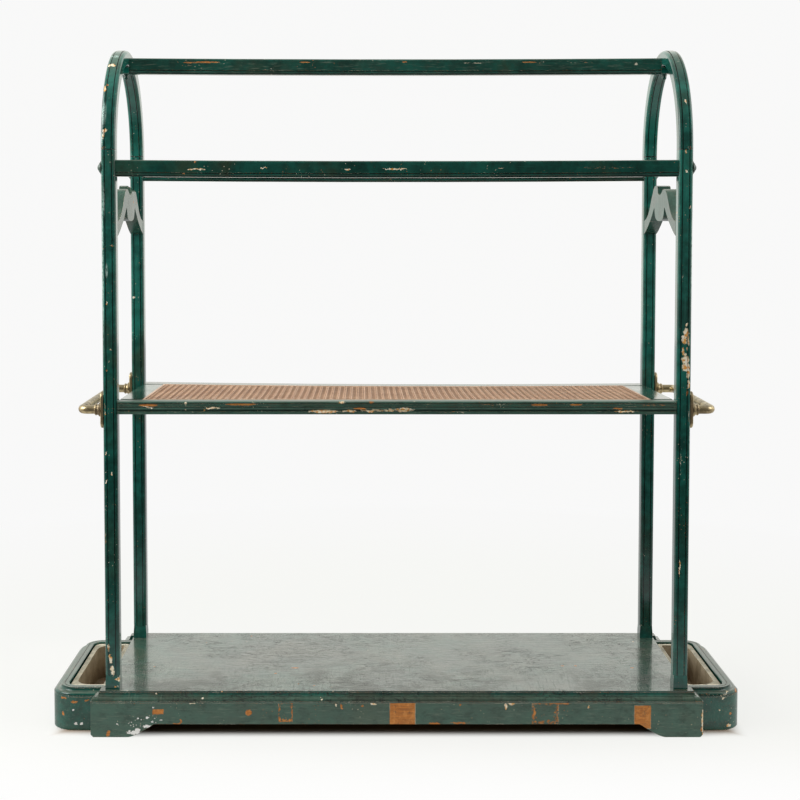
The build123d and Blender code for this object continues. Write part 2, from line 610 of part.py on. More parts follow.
with BuildPart() as spline_back:
    with BuildLine(Plane.XZ.offset(-back_y1)) as back_sag2:
        ThreePointArc(*back_path)
    zt, zl = zt + back_left, zl + back_left
    with BuildSketch(Plane(origin=(-post_in - 6.0, 0, 0), x_dir=(0, 1, 0), z_dir=(1, 0, 0))):
        with BuildLine():
            Polyline((y1 - g, zl), (y1 - spline_w + g, zl), (y1 - spline_w + g, zt - 1.0))
            ThreePointArc((y1 - spline_w + g, zt - 1.0), (y1 - spline_w / 2, zt), (y1 - g, zt - 1.0))
            Line((y1 - g, zt - 1.0), (y1 - g, zl))
        make_face()
    sweep(path=back_sag2.wires()[0], is_frenet=False)
    with Locations((0, y1, shelf_top)):
        Box(2 * (xo - g), 100.0, 100.0, mode=Mode.INTERSECT)
with BuildPart() as spline_all:
    add(cane_spline.part)
    add(spline_back.part)
keep(spline_all.part, "cane_spline")

# ---- brass stick rails ----
xb = post_out + brass_out
leg0 = post_out + plate_t
for side, sx in SIDES.items():
    with BuildPart() as brass_rail:
        with BuildLine(Plane.XY.offset(brass_z)) as bar_path:
            FilletPolyline((sx * leg0, -post_y), (sx * xb, -post_y), (sx * xb, post_y), (sx * leg0, post_y), radius=13.0)
        with BuildSketch(Plane(origin=(sx * leg0, -post_y, brass_z), z_dir=(sx, 0, 0))):
            Circle(brass_r)
        sweep(path=bar_path.wires()[0])
        for sy in (-1, 1):
            with Locations(Plane(origin=(sx * leg0, sy * post_y, brass_z), z_dir=(-sx, 0, 0))):
                Hole(radius=4.2, depth=22.0)
    keep(brass_rail.part, f"brass_rail_{side}")

with BuildPart() as brass_collars:
    for sx in (-1, 1):
        for sy in (-1, 1):
            with BuildSketch(Plane(origin=(sx * leg0, sy * post_y, brass_z), x_dir=(sx, 0, 0), z_dir=(0, -sx, 0))):
                r = brass_r + 0.15
                with BuildLine():
                    Polyline((0, r), (0, 14.0), (2.6, 14.0))
                    ThreePointArc((2.6, 14.0), (3.6, 13.6), (4.0, 12.6))
                    ThreePointArc((4.0, 12.6), (6.2, 11.0), (8.6, 10.9))
                    ThreePointArc((8.6, 10.9), (9.9, 11.8), (11.2, 10.9))
                    Polyline((11.2, 10.9), (12.4, 10.0), (12.4, r), (0, r))
                make_face()
            revolve(axis=Axis((sx * leg0, sy * post_y, brass_z), (1, 0, 0)))
keep(brass_collars.part, "brass_collars")

with BuildPart() as brass_backplates:
    for sx in (-1, 1):
        for sy in (-1, 1):
            with BuildSketch(Plane(origin=(sx * post_out, sy * post_y, brass_z), x_dir=(0, 0, 1), z_dir=(sx, 0, 0))):
                SlotOverall(74.0, 27.0)
                Circle(4.2, mode=Mode.SUBTRACT)
                with Locations((-27.0, 0), (27.0, 0)):
                    Circle(2.1, mode=Mode.SUBTRACT)
            extrude(amount=plate_t)
    rim = [e for f in brass_backplates.part.faces().filter_by(Axis.X) if abs(abs(f.center().X) - (post_out + plate_t)) < 0.01 for e in f.outer_wire().edges()]
    fillet(rim, 2.6)
keep(brass_backplates.part, "brass_backplates")

with BuildPart() as backplate_screws:
    for sx in (-1, 1):
        for sy in (-1, 1):
            for dz in (-27.0, 27.0):
                with Locations(Plane(origin=(sx * (post_out + plate_t - 5.9), sy * post_y, brass_z + dz), z_dir=(sx, 0, 0))):
                    Cylinder(2.0, 5.9, align=(Align.CENTER, Align.CENTER, Align.MIN))
                with BuildSketch(Plane(origin=(sx * (post_out + plate_t), sy * post_y, brass_z + dz), x_dir=(sx, 0, 0), z_dir=(0, -sx, 0))):
                    with BuildLine():
                        Polyline((0, 0), (0, 3.9), (0.5, 3.9))
                        ThreePointArc((0.5, 3.9), (1.6, 2.6), (2.1, 0.4))
                        Polyline((2.1, 0.4), (2.1, 0), (0, 0))
                    make_face()
                revolve(axis=Axis((sx * (post_out + plate_t), sy * post_y, brass_z + dz), (1, 0, 0)))
keep(backplate_screws.part, "backplate_screws")

with BuildPart() as shelf_studs:
    for sx in (-1, 1):
        for sy in (-1, 1):
            with Locations(Plane(origin=(sx * (post_in - 44.0), sy * post_y, brass_z), z_dir=(sx, 0, 0))):
                Cylinder(4.0, 44.0 + post_w + plate_t + 20.0, align=(Align.CENTER, Align.CENTER, Align.MIN))
keep(shelf_studs.part, "shelf_studs")

print(len(made), "nodes")
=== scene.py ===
import bpy
import math
import random
import numpy as np
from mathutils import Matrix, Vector


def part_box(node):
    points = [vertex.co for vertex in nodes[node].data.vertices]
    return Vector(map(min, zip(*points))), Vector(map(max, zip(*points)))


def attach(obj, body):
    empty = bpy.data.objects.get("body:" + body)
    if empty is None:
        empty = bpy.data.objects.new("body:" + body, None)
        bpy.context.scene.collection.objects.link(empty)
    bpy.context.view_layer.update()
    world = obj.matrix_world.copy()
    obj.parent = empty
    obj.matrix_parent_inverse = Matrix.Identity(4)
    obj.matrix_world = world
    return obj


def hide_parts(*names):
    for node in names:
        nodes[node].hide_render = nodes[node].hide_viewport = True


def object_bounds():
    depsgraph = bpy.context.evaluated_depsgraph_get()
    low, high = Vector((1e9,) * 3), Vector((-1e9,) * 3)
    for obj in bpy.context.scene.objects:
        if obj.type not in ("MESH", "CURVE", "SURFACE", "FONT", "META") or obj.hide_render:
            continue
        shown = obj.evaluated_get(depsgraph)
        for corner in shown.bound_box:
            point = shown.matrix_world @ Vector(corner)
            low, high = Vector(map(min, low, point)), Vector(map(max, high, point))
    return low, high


# Painted hall stand: luggage deck, caned shelf, hooped ends, brass-railed stick bays with lift-out pans.
# Metres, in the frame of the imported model. -Y is the front, the floor is Z = 0.

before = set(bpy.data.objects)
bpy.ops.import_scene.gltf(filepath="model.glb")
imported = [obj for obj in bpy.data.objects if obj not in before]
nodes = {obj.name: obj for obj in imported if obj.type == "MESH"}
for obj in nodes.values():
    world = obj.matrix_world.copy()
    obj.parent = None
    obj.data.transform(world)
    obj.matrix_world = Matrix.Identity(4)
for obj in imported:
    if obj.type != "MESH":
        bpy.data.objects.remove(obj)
cad_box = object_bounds()
scene = bpy.context.scene


def plain(b):
    return [[float(v) for v in p] for p in b]


cad_box = plain(cad_box)

# ------------------------------------------------------------------ camera
cam_data = bpy.data.cameras.new("camera")
cam = bpy.data.objects.new("camera", cam_data)
scene.collection.objects.link(cam)
cam.location = (-0.0634, -3.0954, 1.039)
cam.rotation_euler = (math.radians(90 - 3.0), 0, 0)
cam_data.sensor_width = 36
cam_data.lens = 65.79
cam_data.shift_x = 0.0437
cam_data.shift_y = -0.1327
cam_data.dof.use_dof = False
scene.camera = cam

# ------------------------------------------------------------------ light and floor
scene.view_settings.view_transform = "Standard"
scene.view_settings.look = "None"
PALE = (0.945, 0.945, 0.942)

world = bpy.data.worlds.new("studio")
scene.world = world
world.use_nodes = True
wt = world.node_tree
wt.nodes.clear()


def wnode(kind, **sets):
    n = wt.nodes.new(kind)
    for k, v in sets.items():
        n.inputs[k].default_value = v
    return n


w_out = wnode("ShaderNodeOutputWorld")
w_cam = wnode("ShaderNodeBackground", Color=(*PALE, 1))
w_env = wnode("ShaderNodeBackground")
w_path = wnode("ShaderNodeLightPath")
w_mix = wnode("ShaderNodeMixShader")
w_tc = wnode("ShaderNodeTexCoord")
w_sep = wnode("ShaderNodeSeparateXYZ")
# pale walls behind and beside the stand; darker in front of it and overhead, where the studio isn't lit
w_front = wt.nodes.new("ShaderNodeMapRange")
w_front.interpolation_type = "SMOOTHSTEP"
w_front.inputs["From Min"].default_value = -0.92
w_front.inputs["From Max"].default_value = -0.15
w_front.inputs["To Min"].default_value = 0.10
w_front.inputs["To Max"].default_value = 1.0
w_top = wt.nodes.new("ShaderNodeMapRange")
w_top.interpolation_type = "SMOOTHSTEP"
w_top.inputs["From Min"].default_value = 0.42
w_top.inputs["From Max"].default_value = 0.86
w_top.inputs["To Min"].default_value = 1.0
w_top.inputs["To Max"].default_value = 0.42
w_mul = wt.nodes.new("ShaderNodeMath")
w_mul.operation = "MULTIPLY"
w_env.inputs["Color"].default_value = (0.965, 0.955, 0.895, 1)
wt.links.new(w_tc.outputs["Generated"], w_sep.inputs[0])
wt.links.new(w_sep.outputs["Y"], w_front.inputs["Value"])
wt.links.new(w_sep.outputs["Z"], w_top.inputs["Value"])
wt.links.new(w_front.outputs[0], w_mul.inputs[0])
wt.links.new(w_top.outputs[0], w_mul.inputs[1])
wt.links.new(w_mul.outputs[0], w_env.inputs["Strength"])
wt.links.new(w_path.outputs["Is Camera Ray"], w_mix.inputs["Fac"])
wt.links.new(w_env.outputs[0], w_mix.inputs[1])
wt.links.new(w_cam.outputs[0], w_mix.inputs[2])
wt.links.new(w_mix.outputs[0], w_out.inputs[0])


def area(name, loc, aim, size, power, tint=(1, 1, 1)):
    data = bpy.data.lights.new(name, "AREA")
    data.shape = "RECTANGLE"
    data.size, data.size_y = size
    data.energy = power
    data.color = tint
    ob = bpy.data.objects.new(name, data)
    ob.location = loc
    ob.rotation_euler = (Vector(aim) - Vector(loc)).to_track_quat("-Z", "Y").to_euler()
    scene.collection.objects.link(ob)
    return ob


overhead = area("overhead", (0.0, -0.3, 3.4), (0, -0.1, 0.0), (3.4, 2.6), 60)
overhead.visible_glossy = False
left_soft = area("left_soft", (-2.5, -0.75, 1.55), (0, -0.2, 0.95), (1.7, 1.7), 62)
right_soft = area("right_soft", (2.9, -1.8, 1.6), (0, 0, 0.7), (0.7, 1.7), 24)
left_soft.visible_glossy = right_soft.visible_glossy = False
# white cards high up at the sides, seen only as streaks in the hoops' gloss
for side, lift in ((-1, 26), (1, 11)):
    card = area("card", (side * 2.2, -0.55, 1.95), (0, -0.25, 1.3), (1.3, 1.4), lift)
    card.visible_diffuse = False

# ------------------------------------------------------------------ node helper


class Graph:
    """A material's node tree, with one short call for each kind of node."""

    def __init__(self, name):
        self.mat = bpy.data.materials.new(name)
        self.mat.use_nodes = True
        self.t = self.mat.node_tree
        self.t.nodes.clear()
        self.out = self.t.nodes.new("ShaderNodeOutputMaterial")
        self.bsdf = self.t.nodes.new("ShaderNodeBsdfPrincipled")
        self.t.links.new(self.bsdf.outputs[0], self.out.inputs["Surface"])
        self.pos = self.t.nodes.new("ShaderNodeTexCoord").outputs["Object"]

    def put(self, sock, v):
        if isinstance(v, bpy.types.NodeSocket):
            self.t.links.new(v, sock)
        else:
            sock.default_value = v

    def math(self, op, a, b=None, c=None, clamp=False):
        n = self.t.nodes.new("ShaderNodeMath")
        n.operation = op
        n.use_clamp = clamp
        for i, v in enumerate((a, b, c)):
            if v is not None:
                self.put(n.inputs[i], v)
        return n.outputs[0]

    def vec(self, op, a, b=None, c=None, out=0):
        n = self.t.nodes.new("ShaderNodeVectorMath")
        n.operation = op
        for i, v in enumerate((a, b, c)):
            if v is not None:
                self.put(n.inputs[i], v)
        return n.outputs["Value"] if op in ("LENGTH", "DOT_PRODUCT", "DISTANCE") else n.outputs[0]

    def scaled(self, s, p=None):
        return self.vec("MULTIPLY", p or self.pos, s)

    def noise(self, p, scale, detail=3.0, rough=0.55, dist=0.0, colour=False):
        n = self.t.nodes.new("ShaderNodeTexNoise")
        self.put(n.inputs["Vector"], p)
        n.inputs["Scale"].default_value = scale
        n.inputs["Detail"].default_value = detail
        n.inputs["Roughness"].default_value = rough
        n.inputs["Distortion"].default_value = dist
        return n.outputs["Color" if colour else "Fac"]

    def cells(self, p, scale, feature="F1", rand=1.0):
        n = self.t.nodes.new("ShaderNodeTexVoronoi")
        n.feature = feature
        self.put(n.inputs["Vector"], p)
        n.inputs["Scale"].default_value = scale
        n.inputs["Randomness"].default_value = rand
        return n.outputs["Distance"]

    def step(self, v, lo, hi):
        n = self.t.nodes.new("ShaderNodeMapRange")
        n.interpolation_type = "SMOOTHSTEP"
        self.put(n.inputs["Value"], v)
        n.inputs["From Min"].default_value = lo
        n.inputs["From Max"].default_value = hi
        return n.outputs[0]

    def mix(self, f, a, b):
        n = self.t.nodes.new("ShaderNodeMix")
        n.data_type = "RGBA"
        n.clamp_factor = True
        self.put(n.inputs[0], f)
        self.put(n.inputs[6], a if isinstance(a, bpy.types.NodeSocket) else (*a, 1))
        self.put(n.inputs[7], b if isinstance(b, bpy.types.NodeSocket) else (*b, 1))
        return n.outputs[2]

    def mixf(self, f, a, b):
        n = self.t.nodes.new("ShaderNodeMix")
        n.data_type = "FLOAT"
        n.clamp_factor = True
        self.put(n.inputs[0], f)
        self.put(n.inputs[2], a)
        self.put(n.inputs[3], b)
        return n.outputs[0]

    def bump(self, h, dist, strength=1.0, normal=None):
        n = self.t.nodes.new("ShaderNodeBump")
        n.inputs["Strength"].default_value = strength
        n.inputs["Distance"].default_value = dist
        self.put(n.inputs["Height"], h)
        if normal is not None:
            self.put(n.inputs["Normal"], normal)
        return n.outputs[0]

    def edges(self, radius, samples=4):
        """1 on sharp corners, 0 on flats."""
        b = self.t.nodes.new("ShaderNodeBevel")
        b.samples = samples
        b.inputs["Radius"].default_value = radius
        g = self.t.nodes.new("ShaderNodeNewGeometry")
        return self.math("SUBTRACT", 1.0, self.vec("DOT_PRODUCT", b.outputs[0], g.outputs["Normal"]), clamp=True)

    def hollow(self, distance, samples=4):
        """1 in tight grooves and inner corners, 0 in the open."""
        n = self.t.nodes.new("ShaderNodeAmbientOcclusion")
        n.samples = samples
        n.only_local = True
        n.inputs["Distance"].default_value = distance
        return self.math("SUBTRACT", 1.0, n.outputs["AO"], clamp=True)

    def part(self, p, axis):
        n = self.t.nodes.new("ShaderNodeSeparateXYZ")
        self.put(n.inputs[0], p)
        return n.outputs[axis]

    def finish(self, colour, rough, normal=None, **fixed):
        self.put(self.bsdf.inputs["Base Color"], colour)
        self.put(self.bsdf.inputs["Roughness"], rough)
        if normal is not None:
            self.put(self.bsdf.inputs["Normal"], normal)
        for k, v in fixed.items():
            self.bsdf.inputs[k].default_value = v
        return self.mat


# ------------------------------------------------------------------ marks of wear, by node
# (x, y, z, half width, half height, kind), millimetres.
# w cream filler, W white, o bare orange-brown wood, O the same in a squared patch, r broken outline of a lifted patch,
# c part of a ring, s spatter, e worn line, l thin line of bare wood, p painted highlight in pale broken streaks along
# the beads, t bare wood on a top face
MARKS = {
    "post_front_left": [
        (-577.9, -195.4, 733.0, 1.3, 2.0, "o"),
        (-568.8, -195.4, 776.0, 1.4, 2.0, "w"),
        (-581.2, -195.4, 647.0, 1.4, 3.0, "w"),
        (-581.0, -195.4, 567.0, 1.2, 3.0, "w"),
        (-569.3, -195.4, 527.0, 1.5, 3.0, "w"),
        (-579.7, -195.4, 511.5, 1.5, 3.5, "w"),
        (-579.4, -195.4, 173.7, 1.8, 8.7, "w"),
        (-577.4, -195.4, 155.1, 2.8, 5.1, "w"),
        (-574.8, -195.4, 148.2, 3.0, 5.8, "w"),
        (-573.1, -195.4, 131.2, 3.7, 5.2, "w"),
        (-570.3, -195.4, 123.1, 2.9, 5.9, "w"),
        (-564.4, -195.4, 109.3, 2.4, 1.7, "w"),
        (-559.2, -195.4, 109.2, 2.0, 5.0, "w"),
        (-567.6, -195.4, 95.9, 1.8, 1.7, "w"),
        (-561.0, -195.4, 96.2, 1.2, 1.2, "w"),
        (-583.2, -195.4, 406.0, 1.0, 25.0, "e"),
        (-582.8, -195.4, 663.0, 1.0, 12.0, "e"),
        (-565.8, -195.4, 982.0, 1.0, 3.0, "w"),
        (-584.3, -195.4, 951.0, 1.7, 180.0, "p"),
        (-580.7, -195.4, 1074.0, 1.9, 33.0, "p"),
        (-576.8, -195.4, 933.0, 3.0, 14.0, "p"),
        (-576.8, -195.4, 868.0, 1.0, 3.0, "w"),
    ],
    "post_front_right": [
        (577.1, -195.4, 825.3, 2.3, 4.3, "w"),
        (575.0, -195.4, 810.0, 5.8, 7.0, "w"),
        (571.2, -195.4, 796.5, 4.0, 8.5, "w"),
        (579.2, -195.4, 795.0, 2.0, 10.0, "w"),
        (569.0, -195.4, 772.0, 2.2, 7.0, "w"),
        (578.2, -195.4, 777.0, 2.0, 3.0, "w"),
        (573.7, -195.4, 767.0, 4.5, 3.0, "w"),
        (575.7, -195.4, 755.0, 7.5, 8.0, "w"),
        (574.9, -195.4, 741.4, 7.7, 7.6, "w"),
        (580.4, -195.4, 728.0, 3.2, 10.0, "w"),
        (581.9, -195.4, 706.6, 2.3, 8.4, "w"),
        (578.9, -195.4, 689.9, 1.9, 6.1, "o"),
        (567.1, -195.4, 551.0, 1.1, 20.0, "e"),
        (585.2, -195.4, 971.0, 1.8, 160.0, "p"),
        (585.3, -195.4, 606.0, 1.5, 75.0, "p"),
        (569.7, -195.4, 1168.5, 1.5, 2.5, "w"),
        (573.7, -195.4, 1130.5, 1.5, 2.5, "w"),
        (579.2, -195.4, 1058.0, 1.0, 3.0, "w"),
        (567.4, -195.4, 336.0, 1.2, 15.0, "w"),
        (567.2, -195.4, 929.0, 1.0, 18.0, "e"),
        (582.8, -195.4, 639.0, 1.0, 16.0, "e"),
    ],
    "top_rail": [
        (-429.5, -13.0, 1362.5, 14.9, 1.3, "l"),
        (-395.4, -13.0, 1363.2, 27.6, 1.3, "l"),
        (-429.5, -13.0, 1357.0, 6.4, 0.9, "e"),
        (398.5, -13.0, 1363.7, 15.9, 1.6, "e"),
        (-189.2, -13.0, 1363.2, 10.6, 1.1, "l"),
        (20.1, -13.0, 1363.6, 5.3, 1.1, "l"),
        (280.6, -13.0, 1363.2, 14.9, 1.1, "l"),
        (154.1, -13.0, 1361.1, 26.6, 1.1, "e"),
    ],
    "mid_rail_front": [
        (-399.6, -193.2, 1134.1, 15.5, 1.0, "w"),
        (-400.1, -193.2, 1149.5, 2.0, 1.6, "o"),
        (-422.1, -193.2, 1126.1, 2.0, 1.0, "o"),
        (-4.8, -193.2, 1134.5, 21.0, 1.4, "w"),
        (-96.8, -193.2, 1133.6, 7.0, 1.5, "w"),
        (412.6, -193.2, 1137.1, 54.0, 2.0, "e"),
        (-264.0, -193.2, 1136.1, 6.0, 1.0, "w"),
        (205.4, -193.2, 1136.6, 7.0, 1.5, "e"),
        (-380.5, -193.2, 1133.1, 1.5, 1.2, "w"),
    ],
    "shelf_front_member": [
        (-495.8, -195.4, 664.4, 18.0, 2.2, "l"),
        (-495.8, -195.4, 660.4, 10.0, 1.0, "w"),
        (-311.8, -195.4, 666.2, 30.0, 2.0, "l"),
        (-367.8, -195.4, 659.0, 14.0, 1.6, "w"),
        (-144.8, -195.4, 652.4, 27.0, 3.0, "w"),
        (-94.8, -195.4, 652.8, 13.0, 1.8, "w"),
        (-73.8, -195.4, 657.8, 12.0, 1.6, "l"),
        (-47.8, -195.4, 654.0, 22.0, 1.8, "w"),
        (-13.8, -195.4, 654.8, 12.0, 2.2, "w"),
        (16.2, -195.4, 655.0, 18.0, 3.2, "w"),
        (-50.8, -195.4, 670.2, 5.0, 1.6, "o"),
        (-108.8, -195.4, 670.0, 5.0, 1.8, "w"),
        (284.2, -195.4, 665.0, 16.0, 2.0, "l"),
        (358.2, -195.4, 665.4, 12.0, 1.6, "l"),
        (441.2, -195.4, 657.2, 9.0, 1.4, "o"),
        (455.2, -195.4, 651.4, 17.0, 1.6, "w"),
        (-422.4, -195.4, 656.0, 1.4, 1.4, "w"),
        (-384.4, -195.4, 653.2, 1.4, 1.4, "w"),
        (116.2, -195.4, 650.5, 30.0, 1.5, "e"),
        (206.2, -195.4, 665.4, 40.0, 1.6, "e"),
        (516.2, -195.4, 665.0, 30.0, 2.0, "e"),
    ],
    "base_front_apron": [
        (11.5, -220.4, 48.1, 24.8, 22.3, "O"),
        (491.6, -220.4, 40.7, 16.1, 22.8, "O"),
        (-222.4, -220.4, 52.6, 13.9, 20.8, "r"),
        (297.1, -220.4, 49.6, 25.8, 21.8, "r"),
        (-477.4, -220.4, 51.6, 10.7, 4.8, "O"),
        (-526.3, -220.4, 9.3, 12.4, 4.3, "W"),
        (-518.3, -220.4, 13.9, 5.5, 4.0, "W"),
        (-499.1, -220.4, 21.9, 8.0, 3.1, "W"),
        (-498.7, -220.4, 39.9, 3.3, 2.8, "W"),
        (-489.7, -220.4, 31.3, 2.4, 2.5, "W"),
        (-487.0, -220.4, 60.9, 1.5, 1.4, "W"),
        (-484.9, -220.4, 36.7, 1.2, 1.0, "W"),
        (-518.1, -220.4, 38.8, 2.7, 1.9, "W"),
        (-511.3, -220.4, 35.5, 1.4, 1.4, "W"),
        (-558.9, -220.4, 25.6, 1.4, 1.4, "W"),
        (-472.6, -220.4, 35.5, 2.4, 1.4, "W"),
        (-505.0, -220.4, 27.8, 44.6, 19.8, "s"),
        (-440.0, -220.4, 32.5, 10.4, 6.2, "c"),
        (-295.9, -220.4, 49.6, 6.8, 5.4, "o"),
        (-577.1, -220.4, 7.8, 4.2, 4.2, "o"),
        (-409.0, -220.4, 69.6, 4.6, 2.2, "w"),
        (-387.8, -220.4, 70.0, 2.2, 1.8, "w"),
        (-122.1, -220.4, 64.5, 1.8, 2.0, "w"),
        (-110.4, -220.4, 60.5, 2.0, 5.0, "o"),
        (218.7, -220.4, 62.5, 2.0, 5.0, "w"),
        (227.7, -220.4, 68.4, 7.9, 1.8, "w"),
        (329.8, -220.4, 68.9, 12.9, 2.5, "o"),
        (75.0, -220.4, 27.6, 9.9, 1.8, "o"),
        (125.6, -220.4, 28.4, 14.9, 1.8, "o"),
        (577.6, -220.4, 14.4, 18.8, 4.5, "s"),
        (612.2, -220.4, 31.5, 2.7, 23.5, "w"),
        (610.3, -220.4, 16.9, 2.0, 5.0, "o"),
        (127.5, -220.4, 65.5, 3.0, 2.0, "o"),
        (384.3, -220.4, 61.5, 2.0, 2.0, "w"),
        (-67.8, -220.4, 63.9, 2.0, 1.6, "o"),
        (302.0, -220.4, 71.0, 6.9, 1.6, "o"),
        (467.6, -220.4, 20.3, 13.9, 1.6, "w"),
        (-46.0, -220.4, 68.4, 5.9, 1.8, "w"),
    ],
    "bay_wall_left": [
        (-675.9, -175.9, 65.4, 6.0, 2.1, "o"),
        (-652.5, -182.0, 58.5, 6.0, 2.0, "o"),
        (-627.4, -182.0, 61.4, 5.0, 1.7, "o"),
        (-675.6, -176.1, 32.5, 2.3, 3.8, "o"),
        (-649.5, -182.0, 13.9, 3.0, 2.4, "W"),
        (-638.9, -182.0, 14.1, 3.5, 3.0, "W"),
        (-614.3, -182.0, 6.2, 2.0, 2.0, "w"),
        (-654.5, -181.9, 40.4, 2.0, 2.0, "W"),
    ],
    "bay_wall_right": [
        (702.0, -132.7, 7.2, 2.4, 10.0, "o"),
        (678.9, -174.2, 32.8, 2.7, 1.9, "o"),
        (675.0, -176.4, 8.4, 6.0, 3.1, "w"),
        (655.0, -181.9, 41.0, 1.4, 1.4, "w"),
        (662.8, -180.8, 65.5, 3.0, 1.4, "w"),
    ],
    "bay_rim_left": [
        (-611.3, -182.0, 66.5, 5.0, 4.0, "w"),
        (-611.3, -182.0, 59.5, 3.0, 3.0, "o"),
    ],
    "bay_rim_right": [
        (625.4, -182.0, 73.6, 16.1, 2.0, "e"),
        (663.9, -180.6, 71.6, 22.1, 2.5, "e"),
        (672.7, -177.5, 77.1, 4.0, 2.0, "w"),
        (603.3, -182.0, 70.5, 4.0, 2.0, "w"),
        (694.9, -157.6, 74.6, 3.0, 4.0, "o"),
    ],
    "deck_board": [
        (-559.3, -216.0, 91.3, 5.0, 1.5, "w"),
        (-541.4, -216.0, 90.4, 3.0, 1.8, "w"),
        (-150.8, -216.0, 75.5, 2.4, 1.6, "w"),
        (-126.3, -216.0, 86.8, 3.0, 2.0, "w"),
        (-388.1, -216.0, 77.5, 1.4, 1.2, "w"),
        (472.4, -216.0, 92.6, 4.0, 1.6, "w"),
        (530.0, -216.0, 91.4, 7.9, 1.6, "w"),
        (-482.3, -216.0, 84.0, 2.5, 1.8, "w"),
        (-351.2, -216.0, 87.8, 2.5, 2.0, "w"),
        (176.5, -216.0, 90.4, 11.9, 1.4, "e"),
        (353.2, -216.0, 90.4, 29.8, 1.4, "e"),
        (-211.0, -55.0, 89.0, 8.0, 3.2, "t"),
        (355.3, -41.0, 89.0, 3.6, 3.0, "t"),
        (382.7, -41.0, 89.0, 3.6, 3.0, "t"),
        (500.3, -54.6, 89.0, 4.0, 3.0, "t"),
        (-250.0, -92.0, 89.0, 3.0, 2.4, "t"),
    ],
    "hoop_front_left": [
        (-576.4, -115.1, 1346.3, 6.8, 2.9, "w"),
        (-582.1, -160.3, 1295.7, 2.1, 5.6, "w"),
        (-578.2, -155.6, 1302.7, 1.4, 2.0, "o"),
        (-578.5, -192.5, 1209.9, 5.0, 2.7, "w"),
        (-580.7, -193.7, 1201.0, 1.8, 6.0, "w"),
        (-579.8, -195.4, 1176.4, 6.0, 2.6, "e"),
        (-577.5, -134.0, 1329.1, 3.0, 4.0, "s"),
        (-580.7, -183.8, 1245.7, 4.8, 32.0, "p"),
        (-583.8, -194.5, 1193.2, 1.4, 14.0, "p"),
        (-574.9, -82.9, 1367.2, 10.0, 4.0, "p"),
    ],
    "hoop_front_right": [
        (580.2, -195.4, 1176.7, 6.0, 2.4, "e"),
        (574.7, -174.9, 1268.7, 2.0, 4.0, "w"),
    ],
}

# ------------------------------------------------------------------ materials
CREAM = (0.84, 0.71, 0.48)
ORANGE = (0.58, 0.205, 0.036)
WOOD_DARK = (0.20, 0.085, 0.035)


def stretch(axis, along=1.0, across=9.0):
    return tuple(along if a == axis else across for a in "XYZ")


def chip_field(g, marks, kinds, wobble, depth):
    """Smallest normalised distance to any mark of these kinds, or None."""
    best = None
    for x, y, z, hw, hh, kind in marks:
        if kind not in kinds:
            continue
        inv = (1000 / hw, 1000 / hh, 1 / depth) if kind == "t" else (1000 / hw, 1 / depth, 1000 / hh)
        off = (-x / 1000 * inv[0], -y / 1000 * inv[1], -z / 1000 * inv[2])
        q = g.vec("MULTIPLY_ADD", wobble, inv, off)
        if kind in "Or":
            a = g.vec("ABSOLUTE", q)
            d = g.math("MAXIMUM", g.math("MAXIMUM", g.part(a, 0), g.part(a, 2)), g.part(a, 1))
        else:
            d = g.vec("LENGTH", q)
        if kind == "r":
            # a lifted patch: crumbs of wood inside, more of them along its outline
            crumbs = g.math("MULTIPLY", g.noise(g.pos, 190.0, 4.0, 0.75), 2.6)
            rim = g.math("MULTIPLY", g.step(d, 0.55, 0.92), 0.42)
            d = g.math("MAXIMUM", d, g.math("SUBTRACT", 2.72, g.math("ADD", crumbs, rim)))
        if kind == "c":
            # only the lower right part of a ring
            ring = g.math("MULTIPLY", g.math("ABSOLUTE", g.math("SUBTRACT", d, 0.88)), 5.5)
            gone = g.math("MULTIPLY", g.step(g.math("SUBTRACT", g.part(q, 0), g.part(q, 2)), 0.1, -0.5), 3.0)
            d = g.math("ADD", g.math("ADD", ring, gone), 0.25)
        best = d if best is None else g.math("MINIMUM", best, d)
    return best


